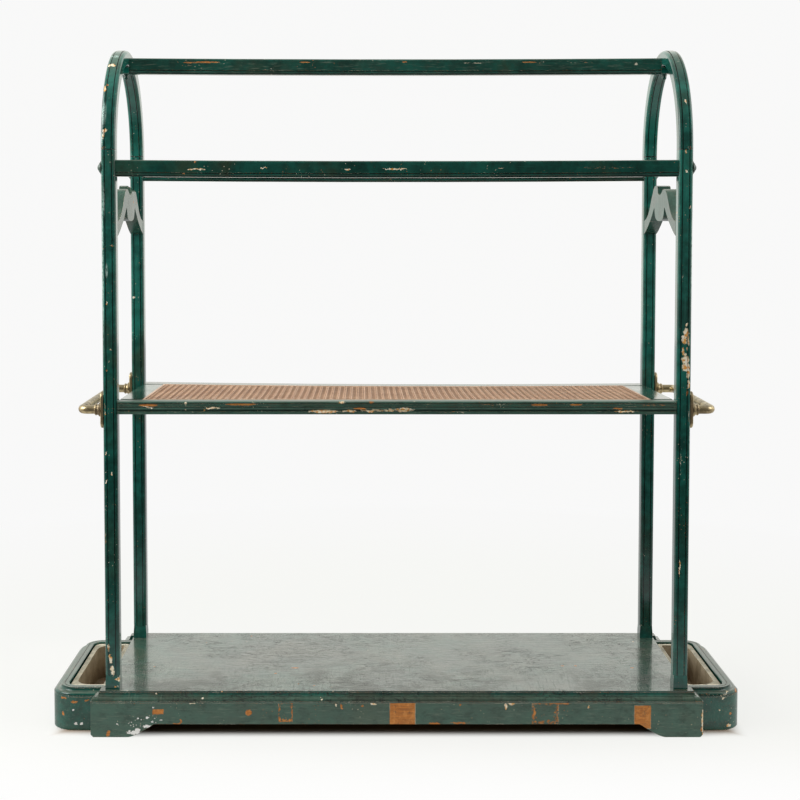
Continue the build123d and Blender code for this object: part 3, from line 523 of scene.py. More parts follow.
def paint(name, axis="X", deck=False, dull=0.0, seed=0.0, wear=1.0, marks=(), depth=0.012, gloss=0.0, dust_and_sheen_level=1.0, vivid_lit_copy=False, joint=None):
    """Old dark blue-green gloss over cream filler on orange-brown wood."""
    g = Graph(name)
    p = g.vec("ADD", g.pos, (seed * 3.1, seed * 1.7, seed * 2.3))
    streak = g.noise(g.vec("MULTIPLY", p, stretch(axis, 1.0, 16.0)), 8.0, 4.0, 0.62)
    brush = g.noise(g.vec("MULTIPLY", p, stretch(axis, 1.0, 36.0)), 15.0, 3.0, 0.6)
    patch = g.noise(p, 5.0, 5.0, 0.65, 0.5)
    mottle = g.noise(p, 42.0, 4.0, 0.7)
    fine = g.noise(p, 280.0, 2.0, 0.6)

    deep = (0.0012, 0.030, 0.0215)
    mid = (0.0042, 0.086, 0.0625)
    pale = (0.016, 0.135, 0.0990)
    # painted light: posts, hoops and bay walls take lighter copies of the same green paint, and the posts and hoops
    # (joint) the lightest
    if vivid_lit_copy:
        deep, mid = (0.0014, 0.046, 0.0335), (0.0036, 0.118, 0.0860)
    if joint:
        deep, mid, pale = (0.0045, 0.052, 0.0395), (0.0125, 0.158, 0.1200), (0.045, 0.215, 0.1700)
    col = g.mix(g.step(g.math("ADD", g.math("MULTIPLY", patch, 0.6), g.math("MULTIPLY", mottle, 0.4)), 0.36, 0.64), deep, mid)
    col = g.mix(g.math("MULTIPLY", g.step(streak, 0.52, 0.80), 0.35 + 0.5 * dull), col, pale)
    # brown old varnish in places
    brown = g.math("MULTIPLY", g.step(g.noise(p, 6.5, 4.0, 0.6, 0.6), 0.52, 0.70), 0.50)
    col = g.mix(brown, col, (0.040, 0.046, 0.020))
    if joint:
        # painted shade: darker low down, in mottled patches; and a dark line where the post meets its hoop
        low_painted_shade = g.math("MULTIPLY", g.step(g.part(g.pos, 2), 0.98, 0.40), g.mixf(g.step(mottle, 0.35, 0.65), 0.66, 0.40))
        col = g.mix(low_painted_shade, col, (0.0020, 0.030, 0.0215))
        seam = g.math("ABSOLUTE", g.math("SUBTRACT", g.part(g.pos, 2), joint))
        col = g.mix(g.math("MULTIPLY", g.step(seam, 0.0015, 0.0006), 0.9), col, (0.003, 0.006, 0.005))
    # grey-green bloom, and dust on whatever faces up, which also serves as painted highlight on the small ledges that
    # catch the light
    bloom = g.math("MULTIPLY", g.step(g.noise(p, 13.0, 6.0, 0.7), 0.52, 0.76), 0.06 + 0.6 * dull)
    col = g.mix(bloom, col, (0.105, 0.165, 0.135))
    if dull:
        col = g.mix(dull, col, (0.118, 0.172, 0.128))
        blotch = g.noise(g.vec("MULTIPLY", p, (1.0, 1.0, 1.8)), 26.0, 6.0, 0.78)
        col = g.mix(g.math("MULTIPLY", g.step(blotch, 0.48, 0.64), 0.55), col, (0.022, 0.044, 0.032))
        scrape = g.noise(g.vec("MULTIPLY", p, stretch(axis, 1.0, 12.0)), 30.0, 5.0, 0.75)
        col = g.mix(g.math("MULTIPLY", g.step(scrape, 0.54, 0.68), 0.50), col, (0.160, 0.210, 0.160))
    geo = g.t.nodes.new("ShaderNodeNewGeometry")
    up = g.step(g.part(geo.outputs["Normal"], 2), 0.55, 0.98)
    dust_and_sheen = g.math("MULTIPLY", up, g.mixf(g.step(g.noise(p, 17.0, 5.0, 0.7), 0.35, 0.70), 0.16 * dust_and_sheen_level, 0.46 * dust_and_sheen_level))
    if deck:
        dust_and_sheen = g.math("MULTIPLY", dust_and_sheen, g.step(g.math("ABSOLUTE", g.part(g.pos, 1)), 0.2085, 0.2040))
    col = g.mix(dust_and_sheen, col, (0.200, 0.205, 0.155))
    col = g.mix(g.math("MULTIPLY", g.step(fine, 0.62, 0.80), 0.16), col, (0.10, 0.17, 0.14))
    # painted shade: the grooves and inner corners of the mouldings darkened to near black
    shaded_groove = g.step(g.hollow(0.0038 if deck else 0.0060), 0.18 if deck else 0.12, 0.50 if deck else 0.40)
    col = g.mix(g.math("MULTIPLY", shaded_groove, 0.65 if deck else 0.85), col, (0.004, 0.009, 0.006))
    rough = g.mixf(g.step(patch, 0.35, 0.7), 0.10 + 0.5 * dull, 0.19 + 0.5 * dull)
    rough = g.math("ADD", rough, g.math("MULTIPLY", g.math("ADD", bloom, dust_and_sheen), 0.16))
    height = g.math("ADD", g.math("MULTIPLY", brush, 0.55), g.math("MULTIPLY", g.noise(p, 34.0, 4.0), 1.1))

    coat = gloss
    if deck:
        # wavy brush marks and cracks along the deck, strokes across it near its front, grime and knocks
        wavy = g.noise(g.vec("MULTIPLY", p, (1.0, 4.5, 1.0)), 24.0, 4.0, 0.62, 0.9)
        cross = g.noise(g.vec("MULTIPLY", p, (15.0, 1.0, 1.0)), 21.0, 3.0, 0.6)
        lumps = g.noise(p, 95.0, 3.0)
        front = g.step(g.part(g.pos, 1), 0.03, -0.16)
        s1 = g.noise(g.vec("MULTIPLY", p, (3.0, 60.0, 3.0)), 5.0, 4.0, 0.68)
        s2 = g.noise(g.vec("MULTIPLY", p, (60.0, 3.0, 3.0)), 5.0, 4.0, 0.68)
        scuff = g.math("MAXIMUM", g.step(s1, 0.55, 0.72), g.math("MULTIPLY", g.step(s2, 0.57, 0.74), 0.8))
        scuff = g.math("MULTIPLY", scuff, g.step(g.noise(p, 3.6, 3.0), 0.38, 0.60))
        grime = g.step(g.math("ADD", g.noise(p, 9.0, 6.0, 0.72, 0.8), g.math("MULTIPLY", front, 0.06)), 0.50, 0.68)
        grime = g.math("MULTIPLY", grime, g.mixf(front, 0.40, 1.0))
        strokes = g.math("MULTIPLY", g.step(cross, 0.50, 0.66), g.mixf(front, 0.15, 0.9))
        zone = g.step(g.noise(p, 5.5, 4.0, 0.6), 0.42, 0.56)
        crack = g.step(g.math("ABSOLUTE", g.math("SUBTRACT", g.noise(g.vec("MULTIPLY", p, (1.0, 3.2, 1.0)), 17.0, 5.0, 0.66, 1.1), 0.5)), 0.017, 0.006)
        crack = g.math("MULTIPLY", crack, zone)
        # painted highlight: the deck's worked edge below about 80 mm lightened, outside the grooves
        lit_edge_band = g.math("MULTIPLY", g.step(g.part(g.pos, 2), 0.0815, 0.0785), g.math("SUBTRACT", 1.0, shaded_groove, clamp=True))
        col = g.mix(g.math("MULTIPLY", lit_edge_band, 0.40), col, (0.110, 0.140, 0.100))
        col = g.mix(g.math("MULTIPLY", scuff, 0.50), col, (0.260, 0.258, 0.200))
        col = g.mix(g.math("MULTIPLY", grime, 0.70), col, (0.042, 0.052, 0.036))
        col = g.mix(g.math("MULTIPLY", strokes, 0.45), col, (0.020, 0.034, 0.024))
        knock = g.step(g.noise(g.vec("MULTIPLY", p, (1.0, 2.6, 1.0)), 62.0, 4.0, 0.75), 0.63, 0.69)
        knock = g.math("MULTIPLY", knock, g.step(g.noise(p, 8.0, 2.0), 0.48, 0.60))
        dark = g.math("MAXIMUM", g.math("MULTIPLY", knock, 0.8), g.math("MULTIPLY", crack, 0.9))
        col = g.mix(dark, col, (0.012, 0.016, 0.012))
        low = g.math("MAXIMUM", dark, g.math("MAXIMUM", g.math("MULTIPLY", grime, 0.55), g.math("MULTIPLY", strokes, 0.55)))
        coat = g.mixf(low, gloss + 0.40, 0.0)
        rough = g.math("ADD", rough, g.math("MULTIPLY", g.math("MAXIMUM", scuff, low), 0.10))
        height = g.math("MULTIPLY", height, 0.5)
        height = g.math("ADD", height, g.math("MULTIPLY", wavy, 4.2))
        height = g.math("ADD", height, g.math("MULTIPLY", cross, g.mixf(front, 0.25, 1.3)))
        height = g.math("ADD", height, g.math("MULTIPLY", lumps, 0.8))
        height = g.math("SUBTRACT", height, g.math("MULTIPLY", dark, 1.4))

    # worn corners, only here and there along the piece; first the arrises are lightened in patches, partly rubbed
    # paint and partly painted highlight
    edge = g.edges(0.0020)
    arris_rub_and_highlight = g.math("MULTIPLY", g.step(edge, 0.06, 0.35), g.math("SUBTRACT", 1.0, shaded_groove, clamp=True))
    arris_rub_and_highlight = g.math("MULTIPLY", arris_rub_and_highlight, g.step(g.noise(p, 30.0, 4.0, 0.7), 0.40, 0.58))
    col = g.mix(g.math("MULTIPLY", arris_rub_and_highlight, 0.50 * wear), col, (0.200, 0.240, 0.180))
    edge_n = g.noise(p, 46.0, 5.0, 0.75)
    where = g.step(g.noise(p, 9.0, 3.0), 0.50, 0.66)
    worn = g.math("ADD", g.math("MULTIPLY", edge, 1.0), g.math("MULTIPLY", edge_n, 1.15))
    worn = g.math("ADD", worn, g.math("MULTIPLY", where, 0.20 * wear))
    worn = g.math("SUBTRACT", worn, g.math("MULTIPLY", shaded_groove, 0.9))
    worn = g.step(worn, 1.13 + 0.13 * (1.0 - wear), 1.18 + 0.13 * (1.0 - wear))
    if not wear:
        worn = g.math("MULTIPLY", worn, g.step(g.noise(p, 3.1, 1.0), 0.62, 0.64))
    # chips on the flats, few
    spot = g.math("ADD", g.cells(p, 34.0), g.math("MULTIPLY", g.noise(p, 130.0, 3.0, 0.7), 0.26))
    lone = g.step(spot, 0.225, 0.205)
    lone = g.math("MULTIPLY", lone, g.step(g.noise(p, 5.0, 1.0), 0.60, 0.62))
    chip = g.math("MAXIMUM", worn, lone)
    # small pale flecks where the gloss has lost its skin
    fleck = g.step(g.cells(p, 150.0), 0.17, 0.09)
    fleck = g.math("MULTIPLY", fleck, g.step(g.noise(p, 24.0, 3.0), 0.51 if vivid_lit_copy else 0.53, 0.60))
    chip = g.math("MAXIMUM", chip, g.math("MULTIPLY", fleck, 0.0 if deck else 0.60))
    wood_here = g.step(g.noise(p, 15.0, 2.0), 0.47, 0.53)

    grain = g.noise(g.vec("MULTIPLY", p, stretch(axis, 1.0, 22.0)), 20.0, 4.0, 0.7)
    wood = g.mix(g.step(grain, 0.30, 0.66), (0.29, 0.105, 0.026), ORANGE)
    wood = g.mix(g.math("MULTIPLY", g.step(g.noise(p, 120.0, 4.0, 0.7), 0.46, 0.64), 0.6), wood, (0.66, 0.29, 0.075))
    wood = g.mix(g.math("MULTIPLY", g.step(g.noise(p, 75.0, 3.0, 0.7), 0.60, 0.68), 0.6), wood, (0.10, 0.075, 0.040))
    cream = g.mix(g.step(g.noise(p, 90.0, 3.0), 0.38, 0.66), CREAM, (0.93, 0.86, 0.70))
    under = g.mix(wood_here, cream, wood)

    if marks:
        painted_highlight = chip_field(g, marks, "p", g.pos, depth)
        if painted_highlight is not None:
            # painted highlight: pale green-white in fine broken streaks, standing in for gloss reflections along the
            # beads
            highlight_streaks = g.step(g.noise(g.vec("MULTIPLY", g.pos, stretch(axis, 1.0, 3.0)), 130.0, 4.0, 0.72), 0.38, 0.55)
            col = g.mix(g.math("MULTIPLY", g.math("MULTIPLY", g.step(painted_highlight, 1.25, 0.45), highlight_streaks), 0.85), col, (0.38, 0.55, 0.49))
        big = g.noise(g.pos, 95.0, 2.0, 0.5, colour=True)
        small = g.noise(g.pos, 330.0, 3.0, 0.7, colour=True)
        wob = g.vec("MULTIPLY_ADD", big, (0.0080, 0.0, 0.0080), (-0.0040, 0.0, -0.0040))
        wob = g.vec("ADD", wob, g.vec("MULTIPLY_ADD", small, (0.0062, 0.0, 0.0062), (-0.0031, 0.0, -0.0031)))
        wob = g.vec("ADD", g.pos, wob)
        jag = g.vec("ADD", g.pos, g.vec("MULTIPLY_ADD", small, (0.0036, 0.0, 0.0036), (-0.0018, 0.0, -0.0018)))
        ragged = g.math("MULTIPLY", g.math("SUBTRACT", g.noise(g.pos, 260.0, 3.0, 0.7), 0.5), 1.5)
        w = chip_field(g, marks, "w", wob, depth)
        o = chip_field(g, marks, "o", wob, depth)
        q = chip_field(g, marks, "Orclt", jag, depth)
        wh = chip_field(g, marks, "W", wob, depth)
        w, o, wh = (f and g.math("ADD", f, ragged) for f in (w, o, wh))
        s = chip_field(g, marks, "s", g.pos, depth)
        e = chip_field(g, marks, "e", g.pos, depth)
        if w is not None:
            wm = g.step(w, 1.12, 1.00)
            inner = g.mix(g.step(g.noise(p, 150.0, 3.0), 0.52, 0.58), cream, (0.72, 0.33, 0.065))
            under = g.mix(wm, under, inner)
            chip = g.math("MAXIMUM", chip, wm)
        for field in (o, q):
            if field is not None:
                om = g.step(field, 1.08, 0.98)
                under = g.mix(om, under, wood)
                chip = g.math("MAXIMUM", chip, om)
        if wh is not None:
            hm = g.step(wh, 1.10, 0.98)
            under = g.mix(hm, under, (0.88, 0.87, 0.84))
            chip = g.math("MAXIMUM", chip, hm)
        if s is not None:
            dots = g.step(g.cells(g.pos, 210.0), 0.25, 0.18)
            dots = g.math("MULTIPLY", dots, g.step(g.noise(g.pos, 70.0, 2.0), 0.50, 0.56))
            dots = g.math("MULTIPLY", dots, g.step(s, 1.2, 0.6))
            under = g.mix(dots, under, (0.80, 0.79, 0.75))
            chip = g.math("MAXIMUM", chip, dots)
        if e is not None:
            line = g.step(g.noise(g.vec("MULTIPLY", g.pos, stretch(axis, 1.0, 4.0)), 110.0, 4.0, 0.75), 0.55, 0.60)
            em = g.math("MULTIPLY", line, g.step(e, 1.1, 0.8))
            under = g.mix(em, under, g.mix(wood_here, cream, wood))
            chip = g.math("MAXIMUM", chip, em)

    # chipped paint shows the filler and wood beneath (the painted shade in the corners of the mouldings is laid on
    # above)
    col = g.mix(chip, col, under)
    rough = g.mixf(chip, rough, 0.60)
    height = g.math("SUBTRACT", height, g.math("MULTIPLY", chip, 3.0))
    n = g.bump(height, 0.00026, 0.9)
    m = g.finish(col, rough, n, **{"Specular IOR Level": 0.5, "IOR": 1.52, "Coat Roughness": 0.07, "Coat IOR": 1.5})
    g.put(g.bsdf.inputs["Coat Weight"], coat)
    return m


def bare_wood(name, axis="X", seed=0.0):
    g = Graph(name)
    p = g.vec("ADD", g.pos, (seed, seed * 2, seed * 3))
    ring = g.noise(g.vec("MULTIPLY", p, stretch(axis, 0.6, 10.0)), 9.0, 5.0, 0.6, 0.6)
    fine = g.noise(g.vec("MULTIPLY", p, stretch(axis, 1.0, 30.0)), 40.0, 3.0, 0.7)
    col = g.mix(g.step(ring, 0.35, 0.68), (0.115, 0.062, 0.032), (0.30, 0.185, 0.100))
    col = g.mix(g.math("MULTIPLY", fine, 0.35), col, (0.07, 0.036, 0.02))
    col = g.mix(g.math("MULTIPLY", g.step(g.noise(p, 7.0, 4.0), 0.5, 0.75), 0.45), col, (0.055, 0.045, 0.036))
    return g.finish(col, g.mixf(fine, 0.62, 0.80), g.bump(g.math("ADD", ring, fine), 0.0004, 0.6))


def brass(name, seed=0.0, bright=0.0):
    g = Graph(name)
    p = g.vec("ADD", g.pos, (seed, seed, seed))
    patina = g.step(g.math("ADD", g.noise(p, 38.0, 5.0, 0.7, 0.5), g.math("MULTIPLY", g.noise(p, 170.0, 3.0, 0.6), 0.25)), 0.52, 0.76)
    green = g.step(g.noise(p, 60.0, 4.0, 0.7), 0.60, 0.74)
    edge = g.edges(0.0012)
    col = g.mix(patina, (0.70, 0.565, 0.325), (0.27, 0.200, 0.115))
    col = g.mix(g.math("MULTIPLY", green, 0.40), col, (0.34, 0.33, 0.24))
    geo = g.t.nodes.new("ShaderNodeNewGeometry")
    up = g.step(g.part(geo.outputs["Normal"], 2), 0.25, 0.9)
    col = g.mix(g.math("MULTIPLY", up, 0.35), col, (0.42, 0.40, 0.33))
    col = g.mix(g.math("MULTIPLY", g.step(edge, 0.05, 0.35), 0.65), col, (0.86, 0.70, 0.38))
    col = g.mix(g.math("MULTIPLY", g.step(g.hollow(0.004), 0.18, 0.50), 0.85), col, (0.060, 0.032, 0.014))
    pits = g.step(g.cells(p, 420.0), 0.20, 0.10)
    pits = g.math("MULTIPLY", pits, g.step(g.noise(p, 60.0, 2.0), 0.52, 0.60))
    col = g.mix(g.math("MULTIPLY", pits, 0.5), col, (0.12, 0.075, 0.04))
    rough = g.mixf(patina, 0.30 - 0.05 * bright, 0.46)
    h = g.math("SUBTRACT", g.noise(p, 260.0, 2.0), g.math("MULTIPLY", pits, 0.5))
    m = g.finish(col, rough, g.bump(h, 0.00006, 0.7))
    g.put(g.bsdf.inputs["Metallic"], g.mixf(patina, 1.0, 0.72))
    return m


def zinc(name, sx):
    """Old tinned sheet: beige-brown inside, a grey-green flange whose pale inner edge and lip are painted highlight.
    """
    g = Graph(name)
    z = g.part(g.pos, 2)
    patch = g.noise(g.pos, 18.0, 6.0, 0.68, 0.6)
    col = g.mix(g.step(patch, 0.34, 0.70), (0.300, 0.240, 0.155), (0.540, 0.460, 0.325))
    # water stains run down the sides; the pan is darker towards its floor, where rust lies
    runs = g.noise(g.vec("MULTIPLY", g.pos, (9.0, 9.0, 1.0)), 8.0, 4.0, 0.65)
    col = g.mix(g.math("MULTIPLY", g.step(runs, 0.52, 0.76), 0.40), col, (0.230, 0.160, 0.100))
    low = g.step(z, 0.050, 0.010)
    col = g.mix(g.math("MULTIPLY", low, 0.45), col, (0.150, 0.098, 0.062))
    rust = g.math("MULTIPLY", g.step(g.noise(g.pos, 30.0, 5.0, 0.7), 0.50, 0.62), g.step(z, 0.045, 0.012))
    col = g.mix(g.math("MULTIPLY", rust, 0.7), col, (0.17, 0.060, 0.022))
    geo = g.t.nodes.new("ShaderNodeNewGeometry")
    top = g.math("MULTIPLY", g.step(g.part(geo.outputs["Normal"], 2), 0.6, 0.9), g.step(z, 0.0765, 0.0785))
    flange = g.mix(g.step(g.noise(g.pos, 34.0, 4.0, 0.7), 0.40, 0.65), (0.275, 0.255, 0.180), (0.470, 0.425, 0.310))
    # painted highlight: the flange's inner edge and the upper lip lightened to cream in broken patches
    bright = g.step(g.math("ABSOLUTE", g.part(g.pos, 1)), 0.134, 0.140)
    flange = g.mix(g.math("MULTIPLY", bright, g.step(g.noise(g.pos, 60.0, 4.0, 0.7), 0.36, 0.50)), flange, (0.80, 0.74, 0.58))
    col = g.mix(top, col, flange)
    edge = g.edges(0.0016)
    lip_highlight = g.math("MULTIPLY", g.step(edge, 0.05, 0.30), g.step(z, 0.072, 0.078))
    col = g.mix(g.math("MULTIPLY", lip_highlight, 0.75), col, (0.78, 0.71, 0.56))
    h = g.math("ADD", patch, g.math("MULTIPLY", g.noise(g.pos, 120.0, 3.0), 0.3))
    m = g.finish(col, g.mixf(g.step(patch, 0.4, 0.7), 0.50, 0.34), g.bump(h, 0.0006, 0.7))
    g.put(g.bsdf.inputs["Metallic"], g.mixf(low, 0.25, 0.10))
    return m


def iron(name):
    g = Graph(name)
    n = g.noise(g.pos, 90.0, 4.0, 0.65)
    col = g.mix(g.step(n, 0.4, 0.7), (0.045, 0.043, 0.042), (0.115, 0.060, 0.034))
    m = g.finish(col, g.mixf(n, 0.45, 0.75), g.bump(n, 0.0002, 0.7))
    g.bsdf.inputs["Metallic"].default_value = 0.7
    return m


def caning(name, axis="Y", seed=0.0, light=1.0):
    g = Graph(name)
    p = g.vec("ADD", g.pos, (seed, seed, seed))
    patch = g.noise(p, 13.0, 4.0, 0.6)
    strand = g.noise(g.vec("MULTIPLY", p, (30.0, 30.0, 4.0)), 12.0, 2.0)
    gloss = g.noise(g.vec("MULTIPLY", p, stretch(axis, 0.5, 8.0)), 130.0, 2.0)
    col = g.mix(g.step(patch, 0.3, 0.7), (0.400, 0.235, 0.150), (0.560, 0.370, 0.250))
    col = g.mix(g.math("MULTIPLY", g.step(strand, 0.40, 0.68), 0.55), col, (0.67, 0.49, 0.345))
    col = g.mix(g.math("MULTIPLY", g.step(gloss, 0.55, 0.75), 0.35), col, (0.255, 0.135, 0.075))
    dirt = g.step(g.noise(p, 34.0, 5.0, 0.7), 0.56, 0.76)
    col = g.mix(g.math("MULTIPLY", dirt, 0.5), col, (0.175, 0.095, 0.055))
    if light != 1.0:
        col = g.vec("MULTIPLY", col, (light * 1.02, light * 0.92, light * 0.82))
    return g.finish(col, g.mixf(gloss, 0.34, 0.52), g.bump(gloss, 0.0002, 0.6))


# ------------------------------------------------------------------ finishes on the nodes


def give(name, mat):
    ob = nodes[name]
    ob.data.materials.clear()
    ob.data.materials.append(mat)


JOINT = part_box("hoop_front_left")[0].z
AXIS = {"deck_board": "X", "base_front_apron": "X", "base_back_apron": "X", "top_rail": "X", "mid_rail_front": "X", "mid_rail_back": "X", "shelf_front_member": "X", "shelf_back_member": "X", "shelf_end_left": "Y", "shelf_end_right": "Y"}
for i, n in enumerate(sorted(nodes)):
    if n.startswith("post_socket") or n.startswith("hoop_dowels"):
        continue
    if n.startswith(("post_", "hoop_", "end_bracket", "bay_wall", "bay_rim", "base_front", "base_back", "deck_board", "top_rail", "mid_rail", "shelf_front", "shelf_back", "shelf_end", "rail_bosses", "foot_return", "crown_blocks", "crown_bolts")):
        axis = AXIS.get(n, "Z" if n.startswith(("post_", "foot_return")) else "Y")
        dull = {"base_front_apron": 0.50, "base_back_apron": 0.44, "bay_wall_left": 0.16, "bay_wall_right": 0.14, "end_bracket_left": 0.15, "end_bracket_right": 0.15, "shelf_front_member": 0.33, "top_rail": 0.05}.get(n, 0.0)
        slim = n.startswith(("post_", "hoop_"))
        rail = n.startswith(("top_rail", "mid_rail", "end_bracket"))
        give(n, paint("paint_" + n, axis, deck=(n == "deck_board"), dull=dull, seed=float(i), marks=MARKS.get(n, ()), wear=0.0 if slim else 1.0 if "bracket" in n else 0.35 if rail else 1.0, vivid_lit_copy=slim or n.startswith("bay_wall"), gloss=0.0 if dull > 0.14 else 0.5 if slim else 0.35, dust_and_sheen_level=0.35 if n.startswith("shelf") else 1.0, joint=JOINT if slim else None))
WOOD = bare_wood("bare_wood_x", "X")
WOOD_Y = bare_wood("bare_wood_y", "Y", 3.0)
for n, m in (("post_socket_blocks", WOOD_Y), ("deck_battens", WOOD_Y), ("glue_blocks", WOOD), ("bay_floor_left", WOOD_Y), ("bay_floor_right", WOOD_Y), ("hoop_dowels", WOOD), ("base_end_rail_left", WOOD_Y), ("base_end_rail_right", WOOD_Y)):
    give(n, m)
for n in ("brass_rail_left", "brass_rail_right", "brass_collars", "brass_backplates", "backplate_screws"):
    give(n, brass("brass_" + n, float(len(n))))
for n in ("drip_pan_left", "drip_pan_right"):
    give(n, zinc("zinc_" + n, 1 if n.endswith("right") else -1))
for n in ("rail_bolts", "shelf_studs"):
    give(n, iron("iron_" + n))
give("cane_spline", caning("cane_reed", "X", 2.0))

# ------------------------------------------------------------------ woven cane
# Six-way weave with a 13.3 mm mesh: doubled strands along and across, single strands both ways on the diagonal.
PITCH, HALF = 0.0133, 0.0016
lo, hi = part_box("cane_panel")
front_y, back_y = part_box("shelf_front_member")[1].y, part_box("shelf_back_member")[0].y
POST_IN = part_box("shelf_front_member")[1].x
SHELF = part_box("shelf_front_member")[1].z
BACK_LEFT, BACK_RIGHT, SAG = -0.004, -0.0075, 0.0038


def surface(x, y):
    dz = BACK_LEFT + (BACK_RIGHT - BACK_LEFT) * (x + POST_IN) / (2 * POST_IN) - SAG * (1 - (x / POST_IN) ** 2)
    # the caning itself hangs a little slack in its middle
    u = (x - lo.x) / (hi.x - lo.x)
    v = (y - lo.y) / (hi.y - lo.y)
    slack = -0.0016 * math.sin(math.pi * min(max(u, 0), 1)) * math.sin(math.pi * min(max(v, 0), 1))
    return SHELF - 0.00062 + dz * (y - lo.y) / (hi.y - lo.y) + slack


verts, faces, smooth = [], [], []
rng = random.Random(11)


def strip(points, width, thick):
    """A flat cane strand with a rounded upper side, along points (x, y, height over the surface)."""
    if len(points) < 2:
        return
    base = len(verts)
    w = width * rng.uniform(0.92, 1.06) / 2
    t = thick / 2
    section = ((-w, -t * 0.6), (-w * 0.62, t * 0.72), (0.0, t), (w * 0.62, t * 0.72), (w, -t * 0.6), (0.0, -t))
    n = len(points)
    for i, (x, y, h) in enumerate(points):
        a, b = points[max(i - 1, 0)], points[min(i + 1, n - 1)]
        dx, dy = b[0] - a[0], b[1] - a[1]
        l = math.hypot(dx, dy) or 1.0
        nx, ny = -dy / l, dx / l
        z0 = surface(x, y) + h
        for s, u in section:
            verts.append((x + nx * s, y + ny * s, z0 + u))
    k = len(section)
    for i in range(n - 1):
        for j in range(k):
            a0 = base + i * k + j
            a1 = base + i * k + (j + 1) % k
            faces.append((a0, a1, a1 + k, a0 + k))
    faces.append(tuple(base + j for j in reversed(range(k))))
    faces.append(tuple(base + (n - 1) * k + j for j in range(k)))


nx_cells = int((hi.x - lo.x) / PITCH)
ny_cells = int((hi.y - lo.y) / PITCH)
x_start = (lo.x + hi.x) / 2 - nx_cells * PITCH / 2
y_start = (lo.y + hi.y) / 2 - ny_cells * PITCH / 2
LIFT = 0.00034
# strands from front to back, in pairs
for i in range(nx_cells + 1):
    for s in (0, 1):
        x = x_start + i * PITCH + (s - 0.5) * 2 * HALF + rng.uniform(-0.00022, 0.00022)
        if not lo.x + 0.001 < x < hi.x - 0.001:
            continue
        pts = [(x, lo.y, 0.0)]
        for j in range(ny_cells + 1):
            for t in (0, 1):
                y = y_start + j * PITCH + (t - 0.5) * 2 * HALF
                if lo.y < y < hi.y:
                    pts.append((x, y, LIFT if (s + t + i) % 2 == 0 else -LIFT))
            ym = y_start + (j + 0.5) * PITCH
            if lo.y < ym < hi.y:
                pts.append((x, ym, 0.0))
        pts.append((x, hi.y, 0.0))
        strip(pts, 0.0026, 0.00058)
lengthways_end = len(faces)
# strands from end to end, in pairs
for j in range(ny_cells + 1):
    for t in (0, 1):
        y = y_start + j * PITCH + (t - 0.5) * 2 * HALF + rng.uniform(-0.00022, 0.00022)
        if not lo.y + 0.001 < y < hi.y - 0.001:
            continue
        pts = [(lo.x, y, 0.0)]
        for i in range(nx_cells + 1):
            for s in (0, 1):
                x = x_start + i * PITCH + (s - 0.5) * 2 * HALF
                if lo.x < x < hi.x:
                    pts.append((x, y, -LIFT if (s + t + i) % 2 == 0 else LIFT))
            xm = x_start + (i + 0.5) * PITCH
            if lo.x < xm < hi.x:
                pts.append((xm, y, 0.0))
        pts.append((hi.x, y, 0.0))
        strip(pts, 0.0026, 0.00058)
# diagonal strands, one way over the pairs that run across and under the others, the other way the reverse
for way in (1, -1):
    for k in range(-ny_cells - 1, nx_cells + ny_cells + 2):
        pts = []
        m = 0
        while m <= 2 * (ny_cells + 1):
            y = y_start + m * PITCH / 2
            x = x_start + (k + 0.5) * PITCH + way * m * PITCH / 2
            if lo.y < y < hi.y and lo.x < x < hi.x:
                # whole steps cross the end-to-end pairs, half steps the front-to-back ones
                h = 0.00066 if (m % 2 == 0) == (way == 1) else -0.00066
                pts.append((x, y, h))
            m += 1
        strip(pts, 0.0021, 0.00050)

mesh = bpy.data.meshes.new("cane_weave")
mesh.from_pydata(verts, [], faces)
mesh.update()
# painted light: the front-to-back strands take a lighter copy of the cane colour, the end-to-end and diagonal strands
# a darker, shaded copy
mesh.materials.append(caning("cane_strand", "Y", 0.0, 1.32))
mesh.materials.append(caning("cane_strand_shaded", "X", 5.0, 0.74))
for poly in mesh.polygons:
    poly.use_smooth = True
    poly.material_index = 0 if poly.index < lengthways_end else 1
weave = bpy.data.objects.new("cane_weave", mesh)
scene.collection.objects.link(weave)
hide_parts("cane_panel")
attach(weave, "stand")

# ------------------------------------------------------------------ floor
R_FLOOR = 9.0
fverts = [(R_FLOOR * math.cos(a), R_FLOOR * math.sin(a), 0.0) for a in (2 * math.pi * i / 96 for i in range(96))]
fmesh = bpy.data.meshes.new("floor")
fmesh.from_pydata(fverts, [], [tuple(range(96))])
floor = bpy.data.objects.new("floor", fmesh)
scene.collection.objects.link(floor)
fm = bpy.data.materials.new("floor")
fm.use_nodes = True
ft = fm.node_tree
ft.nodes.clear()
f_out = ft.nodes.new("ShaderNodeOutputMaterial")
f_dif = ft.nodes.new("ShaderNodeBsdfDiffuse")
f_emi = ft.nodes.new("ShaderNodeEmission")
f_mix = ft.nodes.new("ShaderNodeMixShader")
f_tc = ft.nodes.new("ShaderNodeTexCoord")
f_len = ft.nodes.new("ShaderNodeVectorMath")
f_len.operation = "LENGTH"


def fmath(op, a, b=None, clamp=False):
    n = ft.nodes.new("ShaderNodeMath")
    n.operation = op
    n.use_clamp = clamp
    for i, v in enumerate((a, b)):
        if isinstance(v, bpy.types.NodeSocket):
            ft.links.new(v, n.inputs[i])
        elif v is not None:
            n.inputs[i].default_value = v
    return n.outputs[0]


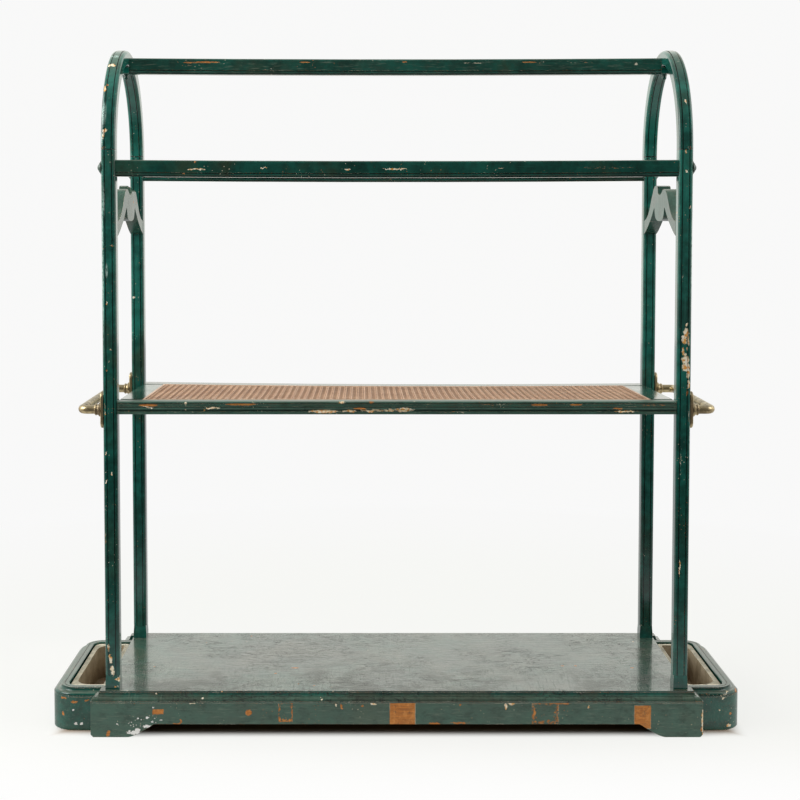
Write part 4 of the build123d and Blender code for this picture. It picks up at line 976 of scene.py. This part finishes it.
def fstep(v, lo, hi, to_lo=0.0, to_hi=1.0):
    n = ft.nodes.new("ShaderNodeMapRange")
    n.interpolation_type = "SMOOTHSTEP"
    ft.links.new(v, n.inputs["Value"])
    for k, x in (("From Min", lo), ("From Max", hi), ("To Min", to_lo), ("To Max", to_hi)):
        n.inputs[k].default_value = x
    return n.outputs[0]


def fmix(f, a, b):
    n = ft.nodes.new("ShaderNodeMix")
    n.data_type = "RGBA"
    ft.links.new(f, n.inputs[0])
    n.inputs[6].default_value = (*a, 1)
    n.inputs[7].default_value = (*b, 1)
    return n.outputs[2]


ft.links.new(f_tc.outputs["Object"], f_len.inputs[0])
f_sep = ft.nodes.new("ShaderNodeSeparateXYZ")
ft.links.new(f_tc.outputs["Object"], f_sep.inputs[0])
f_x = fmath("SUBTRACT", fmath("ABSOLUTE", f_sep.outputs["X"]), 0.700)
f_y = fmath("SUBTRACT", fmath("ABSOLUTE", f_sep.outputs["Y"]), 0.215)
f_d = fmath("MAXIMUM", f_x, f_y)
# a glowing sweep: painted shadow in full only under the stand, a faint one round it, none further off
f_painted_shadow_glow = fmath("ADD", fstep(f_d, -0.030, 0.010, 0.0, 0.82), fstep(f_d, 0.0, 0.34, 0.0, 0.15))
f_far = fstep(f_len.outputs["Value"], 0.9, 2.2)
f_all = fmath("MAXIMUM", f_painted_shadow_glow, f_far)
# painted shadow: the floor's own colour is dark brown under the stand
ft.links.new(fmix(fstep(f_d, -0.050, 0.008), (0.26, 0.155, 0.080), (0.88, 0.87, 0.85)), f_dif.inputs["Color"])
# painted light: the floor's glow is brighter in front of the stand than behind it
f_front_lit_glow = fmix(fstep(f_sep.outputs["Y"], -0.55, -0.15), (0.985, 0.985, 0.98), (0.925, 0.930, 0.905))
f_pale = fmix(f_far, (0, 0, 0), PALE)
ft.links.new(f_front_lit_glow, f_pale.node.inputs[6])
ft.links.new(f_pale, f_emi.inputs["Color"])
# the sweep glows at full strength for the camera; to the stand it is a plain pale floor whose glow ends in front
f_seen = ft.nodes.new("ShaderNodeLightPath")
ft.links.new(fmath("MAXIMUM", f_seen.outputs["Is Camera Ray"], fstep(f_sep.outputs["Y"], -1.35, -0.40, 0.05, 0.60)), f_emi.inputs["Strength"])
ft.links.new(f_all, f_mix.inputs["Fac"])
ft.links.new(f_dif.outputs[0], f_mix.inputs[1])
ft.links.new(f_emi.outputs[0], f_mix.inputs[2])
ft.links.new(f_mix.outputs[0], f_out.inputs["Surface"])
fmesh.materials.append(fm)
